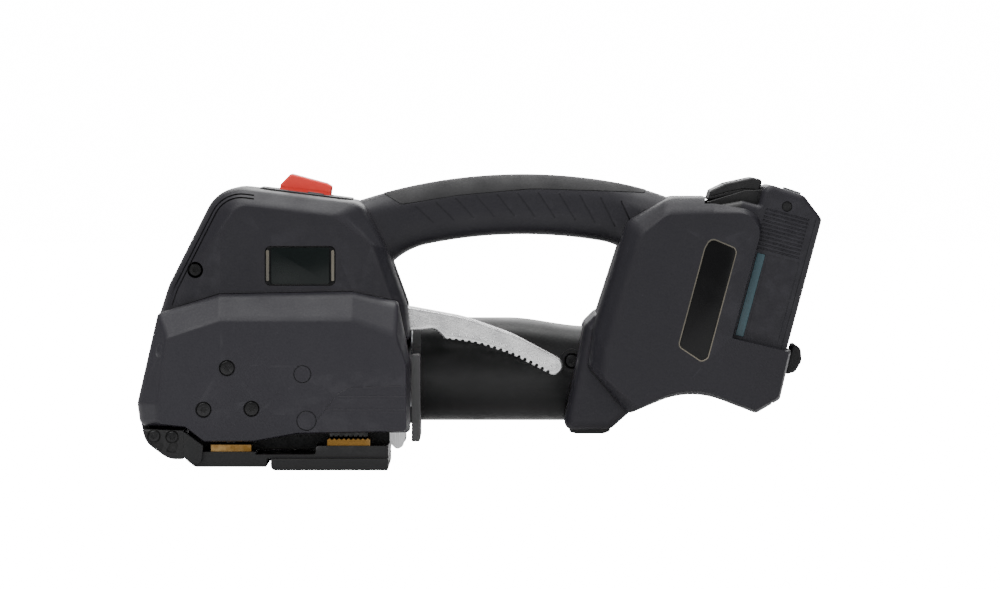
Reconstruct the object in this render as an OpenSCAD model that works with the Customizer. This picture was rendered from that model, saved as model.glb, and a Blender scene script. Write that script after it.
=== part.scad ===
// Battery strapping tool: joins plastic strap by tensioning it and friction welding the overlap.
// X runs from the head (-X) to the battery (+X), Y runs across the tool with the strap slot on the
// -Y side, Z is up. The origin lies on the underside of the sole, on the handle's centre plane.

/* [Head] */
// Distance from the origin back to the head's rear wall
head_back = 62; // [56:0.5:76]
// Half width of the upper head, across its flat side faces
head_half_w = 47; // [44:0.5:56]
// Y depth of the strap-side cover's face
cover_left_y = 60; // [57:0.5:72]
// Y depth of the gear-side cover's face
cover_right_y = 64; // [60:0.5:76]
// Wall of the moulded shells and covers
shell_wall = 2.6; // [2:0.1:3.2]

/* [Handle] */
// Clear length between the head and the rear housing
grip_span = 94; // [78:1:113]
// Width of the handle
handle_w = 36; // [30:0.5:43]
// Height of the handle
handle_h = 31; // [26:0.5:37]
// Rise of the handle's arch over its ends
handle_rise = 11.6; // [9:0.1:14]
// Thickness of the soft pad let into the top of the handle
pad_t = 2.4; // [1.6:0.1:3]

/* [Motor tube] */
// Outer diameter of the tube round the tension motor
tube_d = 54.2; // [50:0.2:58]
// Wall of the motor tube
tube_wall = 2.2; // [1.6:0.1:3]
// Height of the tube's axis
tube_z = 48.7; // [46:0.1:50]
// Diameter of the tension motor and its reduction gear
motor_d = 40; // [32:0.5:44]

/* [Battery] */
// Width of the battery
battery_w = 74.6; // [62:0.2:78]
// Thickness of the battery, rails included
battery_t = 60; // [56:0.5:62]
// Length of the battery hidden in the cradle
battery_sunk = 28; // [23:0.5:30]
// Backward lean of the battery and its housing, in degrees
lean = 15; // [12:0.5:17]
// Clearance round the battery in its bay
bay_gap = 0.6; // [0.3:0.1:1]
// Diameter of one cell
cell_d = 18.3; // [14:0.1:18.6]
// Room for contacts and wall at each end of a cell
cell_end_room = 4.8; // [3.5:0.1:8]

/* [Base] */
// Width of the strap that the tool handles
strap_w = 16; // [12:1:19]
// Thickness of the sole
sole_t = 6; // [5:0.5:7]
// Length of the sole
sole_l = 62; // [52:1:66]
// Top of the plate under the tension wheel
tension_anvil_top = 13; // [11:0.2:13.4]
// Top of the plate under the welding shoe
weld_anvil_top = 16.4; // [14:0.2:17]

/* [Mechanism] */
// Diameter of the knurled tension wheel
wheel_d = 30; // [24:0.5:32]
// Teeth of the gear on the drive shaft
drive_teeth = 30; // [26:1:34]
// Teeth of the gear on the tension wheel
wheel_teeth = 22; // [20:1:24]
// Diameter of the drive shaft
shaft_d = 8; // [6:0.5:9]
// Outer diameter of the shaft bearings
bearing_d = 22; // [18:0.5:24]
// Running clearance of a shaft or pin, on the radius
run_gap = 0.05; // [0.02:0.01:0.09]
// Clearance between pieces that move past each other
free_gap = 0.6; // [0.4:0.1:0.9]
// Diameter of the lever's pivot pin
lever_pin_d = 8; // [6:0.5:10]
// Width of the lever
lever_w = 19; // [14:0.5:20]

/* [Hidden] */
$fn = 64;
eps = 0.01;
tiny = 0.3;          // smallest corner radius left on an inset outline
arc_steps = 4;       // straight pieces in each rounded corner of a moulded outline
face_gap = 0.2;      // gap between pieces that lie against each other

// Places that several pieces share
anvil_y = -43;                              // middle of the strap
anvil_w = strap_w + 3;
base_y0 = 54;                               // strap-side edge of the base plate, from the middle
frame_y0 = -30;                             // strap side of the frame's web
frame_y1 = -22;
cover_seam_y = 41;                          // where the side covers start
head_back_low = head_back + 5;              // rear face of the motor flange
tube_y = tube_d / 2 + 1;
bay_x = head_back + grip_span + 72.6;       // corner of the battery bay, seen from the side
bay_z = 67.7;
drive = [head_back - 70, tube_z];            // drive shaft, in side view
wheel_gap = 0.6;
wheel_c = [-29.6, tension_anvil_top + wheel_gap + wheel_d / 2];
gear_m = 2 * norm(drive - wheel_c) / (drive_teeth + wheel_teeth);
lever_c = [head_back - 16, 76.5];
lever_y = -10.5;
weld_c = [30.7, anvil_y];                   // eccentric shaft, in plan
weld_motor_c = [8, 4];                      // weld motor, in plan
weld_motor_d = 36;
weld_motor_z = [85.6, 125];
belt_z = [76.5, 82.5];
pulley_r = 6.5;
flange_r = pulley_r + 1;
top_slope = 7.2;                            // fall of the head's top, in degrees
panel_c = [8, 141];                         // middle of the control panel, in side view
cell_pitch = cell_d + 0.15;
cell_l = battery_w - 2 * cell_end_room;     // length of one cell, across the tool
battery_wall = 2;
battery_u1 = 28;                            // outer and rail faces of the battery in the bay's frame
battery_u0 = battery_u1 - battery_t;
split_u = -14;                              // where the rail cover meets the case
cell_u0 = battery_u1 - battery_wall - 0.6 - cell_d / 2;
cell_u = [cell_u0, cell_u0 - cell_pitch];
step_w = 5 * cell_pitch - battery_sunk + 4.4;   // ledge under the release latch
latch_travel = 2.8;
latch_gap = latch_travel + free_gap;

// ---------- outlines: [x, z, corner radius], anticlockwise seen from -Y ----------
head_outer = [
  [-71.5, 66, 2], [head_back + 0.4, 66, 2], [head_back - 1.5, 84, 3], [head_back - 12, 113, 8],
  [head_back - 24, 137, 10], [-36, 146.3, 20], [-62.5, 94, 30]
];
head_face = [
  [-38.3, 66, 2], [head_back - 4, 66, 2], [head_back - 8, 84, 3], [head_back - 18.7, 115, 6],
  [head_back - 37.6, 130.5, 7], [-27, 136.8, 9], [-38.3, 119, 6]
];
cover_outer = [
  [-76.2, 22.5, 4], [-53, 21.3, 2], [-43.5, 13.8, 3], [-17.5, 14, 3], [4.5, 18, 3],
  [head_back + 0.2, 19, 2], [head_back + 0.2, 56, 5], [head_back - 6, 86.3, 3],
  [32.4, 91.3, 4], [-35.6, 90, 4], [-67.2, 80, 3], [-77.8, 34, 8]
];
cover_face = [
  [-66, 24, 3], [-52.6, 22.6, 2], [-43, 15.2, 3], [-17.5, 15.4, 3], [4.5, 19.4, 3],
  [head_back - 1.6, 20.4, 2], [head_back - 1.8, 54, 5], [head_back - 7, 68.5, 4],
  [32.4, 77, 5], [-35.3, 77, 5], [-62.6, 68, 4], [-67, 34, 6]
];
// Band of the head between the side covers, with the rounded nose at the bottom
core_outer = [
  [-57, 5.6, 4], [-44, 5.6, 3], [-40, 9.8, 3], [-38, 84, 3], [-65.6, 84.4, 3], [-76.6, 34, 8], [-75.8, 17, 14]
];

function bay(u, w) = [bay_x + u * cos(lean) + w * sin(lean), bay_z - u * sin(lean) + w * cos(lean)];
function at_bay(u, w, r) = let (p = bay(u, w)) [p[0], p[1], r];
rear_outer = [
  [bay_x - 54.6, 27.5, 4], [bay_x - 22.6, 41, 60], [bay_x + 11.4, 28, 3], at_bay(31.4, -25.2, 3),
  at_bay(30.5, 0.9, 1.6), at_bay(0, 0, 1), at_bay(0, 66.5, 11.4), [bay_x - 10, 139.5, 8],
  [bay_x - 33, 139.5, 14], [bay_x - 55, 127, 9], [bay_x - 72.8, 72, 6], [bay_x - 75.6, 52, 6]
];
rear_face = [
  [bay_x - 49.6, 31, 4], [bay_x - 22.6, 43, 60], [bay_x + 10.9, 30, 3], at_bay(30, -24, 3),
  at_bay(29.1, 0, 1.6), at_bay(-1, -0.9, 1), at_bay(-0.8, 65.6, 10.8), [bay_x - 11, 132, 9],
  [bay_x - 34.6, 131.4, 9], [bay_x - 47.6, 121.4, 9], [bay_x - 66, 60, 8], [bay_x - 67, 47, 6]
];
web_outer = [
  [bay_x - 88, 19.2, 4], [bay_x - 63, 19.8, 4], [bay_x - 51, 30.5, 3], [bay_x - 44, 60, 4],
  [bay_x - 68, 82, 6], [bay_x - 77, 73, 6]
];

// ---------- helpers ----------
function unit(v) = v / norm(v);
function turned(a, b) = a[0] * b[1] - a[1] * b[0];
function xz(c) = [c[0], c[1]];
function fillet(p0, p1, p2, r, n) =
  let (
    a = unit(p0 - p1), b = unit(p2 - p1),
    half = acos(max(-1, min(1, a * b))) / 2,
    reach = min(r / tan(half), 0.49 * min(norm(p0 - p1), norm(p2 - p1))),
    rr = reach * tan(half),
    c = p1 + unit(a + b) * rr / sin(half),
    s = p1 + a * reach - c, e = p1 + b * reach - c,
    sweep = atan2(turned(s, e), s * e)
  )
  [for (i = [0:n]) let (t = sweep * i / n)
    c + [s[0] * cos(t) - s[1] * sin(t), s[0] * sin(t) + s[1] * cos(t)]];
function rounded(corners, n = arc_steps) =
  let (k = len(corners))
  [for (i = [0:k - 1])
    each fillet(xz(corners[(i + k - 1) % k]), xz(corners[i]), xz(corners[(i + 1) % k]), corners[i][2], n)];
function inset(corners, d) =
  let (k = len(corners))
  [for (i = [0:k - 1])
    let (
      p = xz(corners[i]),
      e1 = unit(p - xz(corners[(i + k - 1) % k])), e2 = unit(xz(corners[(i + 1) % k]) - p),
      n1 = [-e1[1], e1[0]], n2 = [-e2[1], e2[0]],
      q = p + d * (n1 + n2) / (1 + n1 * n2),
      r = corners[i][2] + (turned(e1, e2) > 0 ? -d : d)
    )
    [q[0], q[1], max(tiny, r)]];

// Solid through outlines at rising Y: sections = [[y, corners], ...]
module loft(sections) {
  rings = [for (s = sections) [for (p = rounded(s[1])) [p[0], s[0], p[1]]]];
  n = len(rings[0]);
  last = (len(rings) - 1) * n;
  sides = [
    for (i = [0:len(rings) - 2], j = [0:n - 1])
      let (a = i * n + j, b = i * n + (j + 1) % n)
        each [[a, b, b + n], [a, b + n, a + n]]
  ];
  polyhedron(
    points = [for (r = rings) each r],
    faces = concat([[for (j = [n - 1:-1:0]) j]], [[for (j = [0:n - 1]) last + j]], sides)
  );
}
// The same outlines on both sides of Y = 0, from the outermost section inwards
function both_sides(half) = concat(half, [for (i = [len(half) - 1:-1:0]) [-half[i][0], half[i][1]]]);
// Straight extrusion of an XZ drawing between two Y values
module side_plate(y0, y1) {
  translate([0, y1, 0]) rotate([90, 0, 0]) linear_extrude(y1 - y0) children();
}
module outline(corners, d = 0) {
  polygon(rounded(inset(corners, d)));
}
// Cylinder along Y through a side-view point
module cross_bar(p, y0, y1, d) {
  translate([p[0], y0, p[1]]) rotate([-90, 0, 0]) cylinder(h = y1 - y0, d = d);
}
module span_box(lo, hi) {
  translate(lo) cube(hi - lo);
}
// Children drawn in the leaning battery frame: X is u, Z is w
module in_bay() {
  translate([bay_x, 0, bay_z]) rotate([0, lean, 0]) children();
}
// Children drawn with X along the head's sloping top
module on_top() {
  translate([panel_c[0], 0, panel_c[1]]) rotate([0, top_slope, 0]) children();
}
// A moulded skin is kept as one mesh
module moulded() {
  resize([0, 0, 0]) children();
}
// Involute spur gear outline
function involute_at(rb, r) = let (t = sqrt(max(0, r * r / rb / rb - 1))) t * 180 / PI - atan(t);
function gear_points(z, m, shift = 0, backlash = 0.14) =
  let (
    rp = z * m / 2, rb = rp * cos(20), ra = rp + 0.9 * m, rf = rp - 1.15 * m,
    half = 90 / z - backlash / m / rp * 90 / PI * m + involute_at(rb, rp), steps = 3,
    lo = max(rb, rf),
    flank = [for (i = [0:steps]) let (r = lo + (ra - lo) * i / steps) [r, half - involute_at(rb, r)]]
  )
  [for (k = [0:z - 1]) let (mid = 360 * k / z + shift)
    each concat(
      [[rf * cos(mid - half), rf * sin(mid - half)]],
      [for (i = [0:steps]) flank[i][0] * [cos(mid - flank[i][1]), sin(mid - flank[i][1])]],
      [for (i = [steps:-1:0]) flank[i][0] * [cos(mid + flank[i][1]), sin(mid + flank[i][1])]],
      [[rf * cos(mid + half), rf * sin(mid + half)]]
    )];
module spur_gear(p, y0, y1, z, shift, bore_d) {
  translate([p[0], y1, p[1]]) rotate([90, 0, 0])
    difference() {
      linear_extrude(y1 - y0) polygon(gear_points(z, gear_m, shift));
      translate([0, 0, -1]) cylinder(h = y1 - y0 + 2, d = bore_d);
    }
}

// ---------- body volumes, full depth; d insets them for the hollow ----------
module head_volume(d = 0, drop = 0) {
  low = [for (c = head_outer) [c[0], c[1] - (c[1] < 70 ? drop : 0), c[2]]];
  low_face = [for (c = head_face) [c[0], c[1] - (c[1] < 70 ? drop : 0), c[2]]];
  edge = 1.2;
  loft(both_sides([
    [-head_half_w + d, inset(low_face, d + edge)],
    [-head_half_w + edge + d, inset(low_face, d)],
    [-head_half_w + 9 + d / 2, inset(low, d + 2)],
    [-head_half_w + 12, inset(low, d + 0.8)],
    [-head_half_w + 19, inset(low, d)]
  ]));
}
half_chord = grip_span / 2 + 32;
arch_r = (half_chord * half_chord + handle_rise * handle_rise) / (2 * handle_rise);
arch_c = [head_back + grip_span / 2 + 11, 150.8 - arch_r];
arch_a = asin((half_chord + 6) / arch_r);
module handle_profile(d = 0) {
  w = handle_w / 2 - d;
  h = handle_h / 2 - d;
  r = 13 - d;
  polygon(rounded([[-h, -w, r], [h, -w, r * 0.9], [h, w, r * 0.9], [-h, w, r]], 5));
}
module along_arch(a0, a1) {
  translate([arch_c[0], 0, arch_c[1]]) rotate([90, 0, 0]) rotate([0, 0, 90 - a1])
    rotate_extrude(angle = a1 - a0, $fn = 150) translate([arch_r - handle_h / 2, 0]) children();
}
module handle_volume(d = 0) {
  along_arch(-arch_a, arch_a * 0.93) handle_profile(d);
}
rear_half_w = battery_w / 2 + bay_gap + shell_wall + 1.8;
module rear_volume(d = 0) {
  edge = 1.4;
  loft(both_sides([
    [-rear_half_w + d, inset(rear_face, d + edge)],
    [-rear_half_w + edge + d, inset(rear_face, d)],
    [-rear_half_w + 7 + d / 2, inset(rear_outer, d + 1.2)],
    [-rear_half_w + 10, inset(rear_outer, d)]
  ]));
}
web_left_y = 30;
web_right_y = tube_y + tube_d / 2 + shell_wall + 0.6;
module web_volume(d = 0) {
  loft([
    [-web_left_y + d, inset(web_outer, d + 5)],
    [-web_left_y + 6, inset(web_outer, d)],
    [web_right_y - 6, inset(web_outer, d)],
    [web_right_y - d, inset(web_outer, d + 5)]
  ]);
}
// Space that the battery sweeps as it slides out
module bay_space() {
  g = bay_gap;
  in_bay() span_box([battery_u0 - g, -battery_w / 2 - g, -battery_sunk - g],
                    [battery_u1 + g, battery_w / 2 + g, 140]);
}
cover_edge = 1.4;
module cover_volume(side, d = 0, back = cover_seam_y) {
  face_y = side < 0 ? cover_left_y : cover_right_y;
  sections = [
    [-face_y + d, inset(cover_face, d + cover_edge)],
    [-face_y + cover_edge + d, inset(cover_face, d)],
    [-face_y + 9.5 + d / 2, inset(cover_outer, d + 0.6)],
    [-face_y + 12, inset(cover_outer, d)],
    [-back, inset(cover_outer, d)]
  ];
  if (side < 0) loft(sections);
  else loft([for (i = [len(sections) - 1:-1:0]) [-sections[i][0], sections[i][1]]]);
}

// ---------- screws ----------
screw_d = 4;
head_d = 7.4;
cover_screw_at = [[-31.2, 52.5], [-43.2, 31.2], [-18.7, 31.7]];
// Round pocket of this depth in a cover's outer face
module pocket(p, face, depth, d) {
  cross_bar(p, face < 0 ? face - 1 : face - depth, face < 0 ? face + depth : face + 1, d);
}

// ---------- shells ----------
module body_skin() {
  g = face_gap;
  difference() {
    union() {
      head_volume();
      handle_volume();
      rear_volume();
      web_volume();
    }
    // hollow
    head_volume(shell_wall, 30);
    handle_volume(shell_wall + pad_t);
    difference() {
      rear_volume(shell_wall);
      // front wall and floor of the battery bay stay solid
      in_bay() span_box([battery_u0 - bay_gap - shell_wall, -100, -battery_sunk - bay_gap - shell_wall],
                        [60, 100, 200]);
    }
    difference() {
      web_volume(shell_wall);
      in_bay() span_box([battery_u0 - bay_gap - shell_wall, -100, -200], [60, 100, 200]);
    }
    bay_space();
    // pad pocket along the handle
    along_arch(-pad_a, pad_a) pad_profile(g);
    // room for the covers and for the frame between them
    cover_volume(-1, -g);
    cover_volume(1, -g);
    // lever slot in the head's rear wall
    span_box([head_back - 30, lever_y - lever_w / 2 - 1.4, 60],
             [head_back + 8, lever_y + lever_w / 2 + 1.4, 103]);
    // mouth for the motor tube
    tube_space();
    // control panel pocket and trigger mouth
    on_top() span_box([-panel_l / 2 - g, -panel_w / 2 - g, -panel_t - g],
                      [panel_l / 2 + g, panel_w / 2 + g, 20]);
    on_top() span_box([-19, -14, -12], [17, 14, 20]);
    for (s = [-1, 1]) side_recesses(s);
    foot_pocket();
  }
}
tube_x1 = bay_x - 72;
module tube_space() {
  translate([head_back, tube_y, tube_z]) rotate([0, 90, 0])
    cylinder(h = tube_x1 - head_back + face_gap, d = tube_d + 2 * face_gap);
}
// Screws that join the halves: side-view place, and the Y of the face their head seats on.
// The head's screw goes in from the strap side, the others from the motor side.
shell_screw_at = [
  [-48.2, 102.2, 9 - head_half_w], [bay_x - 52.6, 100, rear_half_w - 7], [bay_x - 61, 44, web_right_y - 9]
];
screw_past = 22;     // reach of those screws past the parting plane
far_y = 90;          // beyond any piece, across the tool
module screw_mouth(p) {
  cross_bar(p, p[2] < 0 ? -far_y : p[2], p[2] < 0 ? p[2] : far_y, head_d + 1);
}
// Shank of a shell screw, from its seat to past the parting plane
module screw_shank(p, d, more = 0) {
  cross_bar(p, p[2] < 0 ? p[2] - more : -screw_past - more, p[2] < 0 ? screw_past + more : p[2] + more, d);
}
badge_c = [head_back - 56.2, 104.4];
badge_size = [36, 20];
inlay = [[-8, -9, 3], [5.6, -13.6, 2.4], [8.2, -11, 2.4], [8.2, 47, 3], [-6.4, 49, 4], [-8, 43, 3]];
module badge_outline(d = 0) {
  w = badge_size[0] / 2 - d;
  h = badge_size[1] / 2 - d;
  translate(badge_c) polygon(rounded([[-w, -h, 3], [w, -h, 3], [w, h, 3], [-w, h, 3]]));
}
module inlay_outline(d = 0) {
  translate([bay_x, bay_z]) rotate(-lean) translate([-18.6, -3]) polygon(rounded(inset(inlay, d)));
}
inlay_depth = 1.2;
module side_recesses(s) {
  flank_plate(s, head_half_w - inlay_depth - 0.05, 3) badge_outline(-face_gap / 2);
  flank_plate(s, rear_half_w - inlay_depth - 0.05, 3) inlay_outline(-face_gap / 2);
}
// Screw posts inside the halves, one on each side of the parting plane
module posts() {
  for (p = shell_screw_at) cross_bar(p, -far_y, far_y, screw_d + 6);
}
module shell(side) {
  moulded() intersection() {
    union() {
      difference() {
        union() {
          body_skin();
          intersection() {
            posts();
            union() { head_volume(1); handle_volume(1); rear_volume(1); web_volume(1); }
          }
        }
        bay_space();
        for (p = shell_screw_at) {
          screw_shank(p, screw_d + 0.2, 1);
          screw_mouth(p);
        }
        weld_motor_room();
        gearbox_room();
        for (s = [-1, 1]) on_top() translate([key_x, s * key_y, -8]) cylinder(h = 12, d = 4);
        cover_volume(-1, -face_gap);
        cover_volume(1, -face_gap);
      }
      // rails that the battery slides on
      in_bay() for (s = [-1, 1])
        translate([rail_u - 2, s * (battery_w / 2 - 0.5) - 2.2, -battery_sunk]) cube([4, 4.4, rail_l]);
    }
    if (side < 0) span_box([-200, -200, -50], [500, 0, 300]);
    else span_box([-200, 0, -50], [500, 200, 300]);
  }
}
rail_u = battery_u0 + 6.5;      // middle of the rails in the battery's grooves
rail_l = 88;
module left_shell() {
  color("#3a393d") shell(-1);
}
module right_shell() {
  color("#3a393d") shell(1);
}
pad_a = arch_a * 0.72;
module pad_profile(g = 0) {
  difference() {
    intersection() {
      handle_profile(g > 0 ? -2 : 0);
      translate([handle_h / 2 - 8.5 - g, -50]) square([50, 100]);
    }
    handle_profile(pad_t + g);
  }
}
module handle_pad() {
  color("#46464a") along_arch(-pad_a + 0.05, pad_a - 0.05) pad_profile();
}
module cover(side) {
  s = side;
  face_y = side < 0 ? cover_left_y : cover_right_y;
  moulded() difference() {
    union() {
      difference() {
        cover_volume(side);
        cover_volume(side, shell_wall, cover_seam_y - 1);
      }
      // screw posts, short on the strap side where the wheel turns
      for (p = cover_screw_at)
        cross_bar(p, s < 0 ? -face_y + 1 : cover_seam_y, s < 0 ? left_screw_end : face_y - 1, screw_d + 5);
    }
    for (p = cover_screw_at) cross_bar(p, s < 0 ? -80 : 30, s < 0 ? -30 : 80, screw_d + 0.4);
    for (p = cover_screw_at) pocket(p, s * face_y, 1.6, head_d + 0.8);
    for (p = cover_plug_at) pocket([p[0], p[1]], s * face_y, 1.4, p[2] + 0.3);
    // pairs of pressed lines towards the rear
    for (z = [30.5, 38]) for (k = [0, 1.9])
      side_plate(s < 0 ? -face_y - 1 : face_y - 0.6, s < 0 ? -face_y + 0.6 : face_y + 1)
        translate([z < 34 ? 20 : 26, z + k]) square([head_back + 4 - (z < 34 ? 20 : 26), 0.7]);
    // strap way under the strap-side cover
    if (s < 0) span_box([-52, anvil_y - 11, 0], [head_back - 10, -20, 27]);
    gearbox_room();
  }
}
cover_plug_at = [[7.3, 49.4, 8.6], [9.4, 25.6, 9.8]];
module left_cover() {
  color("#3b3a3f") cover(-1);
}
module right_cover() {
  color("#3b3a3f") cover(1);
}
module cover_plugs() {
  color("#2f2f33") for (s = [-1, 1]) for (p = cover_plug_at)
    let (f = s < 0 ? cover_left_y : cover_right_y)
      cross_bar([p[0], p[1]], s < 0 ? -f + 0.1 : f - 1.4, s < 0 ? -f + 1.4 : f - 0.1, p[2]);
}
module front_cover() {
  nose_y = cover_left_y - 2;
  color("#2e2e31") union() {
    // curved wall between the side covers
    side_plate(-cover_seam_y + face_gap, cover_seam_y - face_gap) difference() {
      outline(core_outer);
      outline(core_outer, 3);
      translate([-60, -1]) square([200, 200]);
      translate([-90, 0]) square([200, 18]);
      translate([-90, 65.8]) square([200, 80]);
    }
    // rounded nose under them
    side_plate(-nose_y, cover_right_y - 4) difference() {
      polygon(concat([nose_c + [-0.2, -6.4]], nose_arc(197, 270)));
      for (p = nose_screw_at) translate(p) circle(d = screw_d);
    }
    // cheek that closes the strap side behind the nose
    side_plate(-nose_y, -base_y0 - face_gap) polygon(rounded([
      [nose_c[0] - 1, 8, 1], nose_foot(4, 2), nose_foot(9.6, 3), [nose_c[0] + 10.6, 12.8, 1],
      [nose_c[0], 20.6, 1]]));
  }
}
nose_c = [-54, 27.4];      // centre of the nose's curve, in side view
nose_r = 21.7;
function nose_foot(dx, r) = [nose_c[0] + dx, nose_c[1] - nose_r - 2.2, r];
function nose_arc(a0, a1, n = 14) = [
  for (i = [0:n]) let (a = a0 + (a1 - a0) * i / n) nose_c + nose_r * [cos(a), sin(a)]];
nose_screw_at = [[-68.6, 17.6], [-59.3, 17.2]];
// ---------- head structure ----------
module base_plate() {
  color("#232325") difference() {
    union() {
      side_plate(-base_y0, 40) polygon(rounded([
        [-50.5, 9.4, 1], [-50.5, 1.6, 4], [-11.2, 1.6, 0.5], [-11.2, sole_t, 0.5], [sole_l - 11, sole_t, 0.5],
        [sole_l - 11, 12.4, 0.5], [14, 12.4, 1.5], [14, 8, 1.5], [-17, 8, 0.5], [-17, 9.4, 0.5]]));
    }
    // seats for the two gold plates
    span_box([-40, anvil_y - anvil_w / 2 - 0.1, 8], [-19, tension_anvil_y1 + 0.1, 20]);
    span_box([19.6, anvil_y - anvil_w / 2 - 0.1, 10.4], [41.8, anvil_y + anvil_w / 2 + 0.1, 20]);
    for (p = base_screw_at) translate([p[0], p[1], -1]) cylinder(h = 20, d = screw_d + 0.4);
    for (p = base_screw_at) translate([p[0], p[1], -1]) cylinder(h = 5.6, d = head_d + 0.4);
  }
}
base_screw_at = [[-44, -10], [-44, 24], [2, -10], [2, 24], [40, -10], [40, 24]];
module sole_plate() {
  color("#3a3a3d") difference() {
    side_plate(-57, 40) polygon(rounded([
      [-9, 0, 2.4], [sole_l - 11, 0, 0.8], [sole_l - 11, sole_t, 0.6], [-9, sole_t, 0.6]]));
    for (p = base_screw_at) if (p[0] > -11) {
      translate([p[0], p[1], -1]) cylinder(h = 20, d = screw_d + 0.4);
      translate([p[0], p[1], -1]) cylinder(h = 4.4, d = head_d + 0.6);
    }
  }
}
module tension_anvil() {
  color("#b88a3a") span_box([-39.9, anvil_y - anvil_w / 2, 8],
                            [-19.1, tension_anvil_y1, tension_anvil_top]);
}
module weld_anvil() {
  teeth = 9;
  pitch = 22 / teeth;
  color("#b88a3a") side_plate(anvil_y - anvil_w / 2, anvil_y + anvil_w / 2) polygon(concat(
    [[19.7, 10.4], [41.7, 10.4]],
    [for (i = [teeth - 1:-1:0]) each [
      [19.7 + (i + 1) * pitch, weld_anvil_top - 0.9], [19.7 + (i + 0.5) * pitch, weld_anvil_top]]],
    [[19.7, weld_anvil_top - 0.9]]));
}
frame_outline = [
  [-52, 9.4, 1], [13.8, 9.4, 0.4], [13.8, 12.4, 0.4], [head_back - 2, 12.4, 3], [head_back - 2, 56, 4],
  [head_back - 7, 84, 6], [-34, 84, 4], [-60, 77, 4], [-69, 36, 8], [-66, 22.4, 2], [-52, 22.4, 1]
];
module main_frame() {
  color("#8d8f93") difference() {
    union() {
      difference() {
        side_plate(frame_y0, frame_y1) outline(frame_outline);
        // lightening windows
        side_plate(frame_y0 - 1, frame_y1 + 1) {
          outline([[-56, 48, 3], [-28, 58, 3], [-28, 72, 3], [-54, 70, 3]]);
          outline([[22, 24, 3], [38, 24, 3], [38, 40, 3], [26, 36, 3]]);
        }
      }
      // bearing boss, motor-side ribs and the foot on the base plate
      cross_bar(drive, frame_y1 - 4, frame_y1 + 6, bearing_d + 8);
      span_box([-50, frame_y1 - 1, 12.4], [sole_l - 12, 36, 18]);
      span_box([-50, frame_y1 - 1, 9.4], [13.4, 36, 14]);
      span_box([-50, frame_y1 - 1, 16], [-44, 34, 60]);
      // cheek that carries the far end of the lever's pin
      side_plate(lever_y + lever_w / 2 + 2, lever_y + lever_w / 2 + 6) outline([
        [lever_c[0] - 8, 14, 1], [lever_c[0] + 8, 14, 1], [lever_c[0] + 8, lever_c[1] + 8, 8],
        [lever_c[0] - 8, lever_c[1] + 8, 8]]);
    }
    cross_bar(drive, frame_y0 - 2, frame_y1 + 10, bearing_d);
    for (p = base_screw_at) translate([p[0], p[1], 5]) cylinder(h = 12, d = screw_d);
    for (p = cover_screw_at) cross_bar(p, frame_y0 - 1, frame_y0 + 6, screw_d - 0.2);
    cross_bar(lever_c, frame_y0 - 1, 60, lever_pin_d);
    // notch for the belt and window for the rocker's release pin
    span_box([7, frame_y0 - 1, belt_z[0] - 2], [38, frame_y1 + 1, 90]);
    span_box([release_pin[0] - 4, frame_y0 - 1, release_pin[1] - 9],
             [release_pin[0] + 5.4, frame_y1 + 1, release_pin[1] + 4]);
    bevel_room();
  }
}
module gearbox_room() {
  translate([head_back - 12, tube_y, tube_z]) rotate([0, 90, 0]) cylinder(h = 20, d = motor_d + 1);
}
module bevel_room() {
  span_box([box_x[0] - 0.2, frame_y1 + 6.2, 18.2], [box_x[1] + 0.2, 60, 90]);
}
module motor_flange() {
  t = head_back_low - head_back - 0.6;
  color("#4a4a4c") difference() {
    union() {
      translate([head_back + 0.6, tube_y, tube_z]) rotate([0, 90, 0]) cylinder(h = t, d = tube_d + 3);
      side_plate(frame_y0, 34) polygon(rounded([
        [head_back + 0.6, 13.4, 0.6], [head_back_low, 13.4, 1], [head_back_low, 58, 1.4],
        [head_back + 0.6, 58, 0.6]]));
    }
    translate([head_back - 1, tube_y, tube_z]) rotate([0, 90, 0]) cylinder(h = 20, d = motor_d + 1);
    span_box([head_back - 5, -80, 61], [head_back + 20, 3, 100]);
    translate([head_back_low - 1.6, tube_y, tube_z]) rotate([0, 90, 0])
      difference() {
        cylinder(h = 5, d = tube_d + 2 * face_gap);
        translate([0, 0, -1]) cylinder(h = 8, d = tube_d - 2 * tube_wall - 2 * face_gap);
      }
  }
}
module strap_guide() {
  color("#d6d6d6") side_plate(frame_y0 - 3, frame_y0 - 0.05) polygon(rounded([
    [sole_l - 10.6, 13, 2], [sole_l - 7, 9.2, 3], [sole_l - 3.6, 11.2, 3], [sole_l - 1.8, 19, 1],
    [sole_l - 1.8, 27, 1], [sole_l - 10.6, 27, 1]], 5));
}

// ---------- tension drive ----------
gear_y = [frame_y0 - 4.6, frame_y0 - 0.6];      // plane of the spur gears
tension_anvil_y1 = gear_y[0] - 0.4;             // the gold plate stops short of the wheel's gear
arm_y = [frame_y0 - 8.6, frame_y0 - 5.2];       // plane of the rocker
wheel_y = [anvil_y - strap_w / 2, arm_y[0] - 0.6];
left_screw_end = wheel_y[0] - 1.4;             // the strap-side cover's screws stop short of the wheel
box_x = [drive[0] - 20, drive[0] + 29];
box_y = [frame_y1 + 6.4, cover_seam_y - 0.6];
release_pin = [lever_c[0] - 10.5, lever_c[1] - 6];
pin_d = 5;
module bevel_box() {
  color("#77797d") difference() {
    span_box([box_x[0], box_y[0], 18], [box_x[1], box_y[1], 75]);
    span_box([box_x[0] + 3, box_y[0] + 3, 21], [box_x[1] - 3, box_y[1] - 3, 72]);
    cross_bar(drive, box_y[0] - 1, box_y[0] + 10, shaft_d + 1);
    translate([box_x[1] - 8, tube_y, tube_z]) rotate([0, 90, 0]) cylinder(h = 12, d = 16.6);
  }
}
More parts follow.
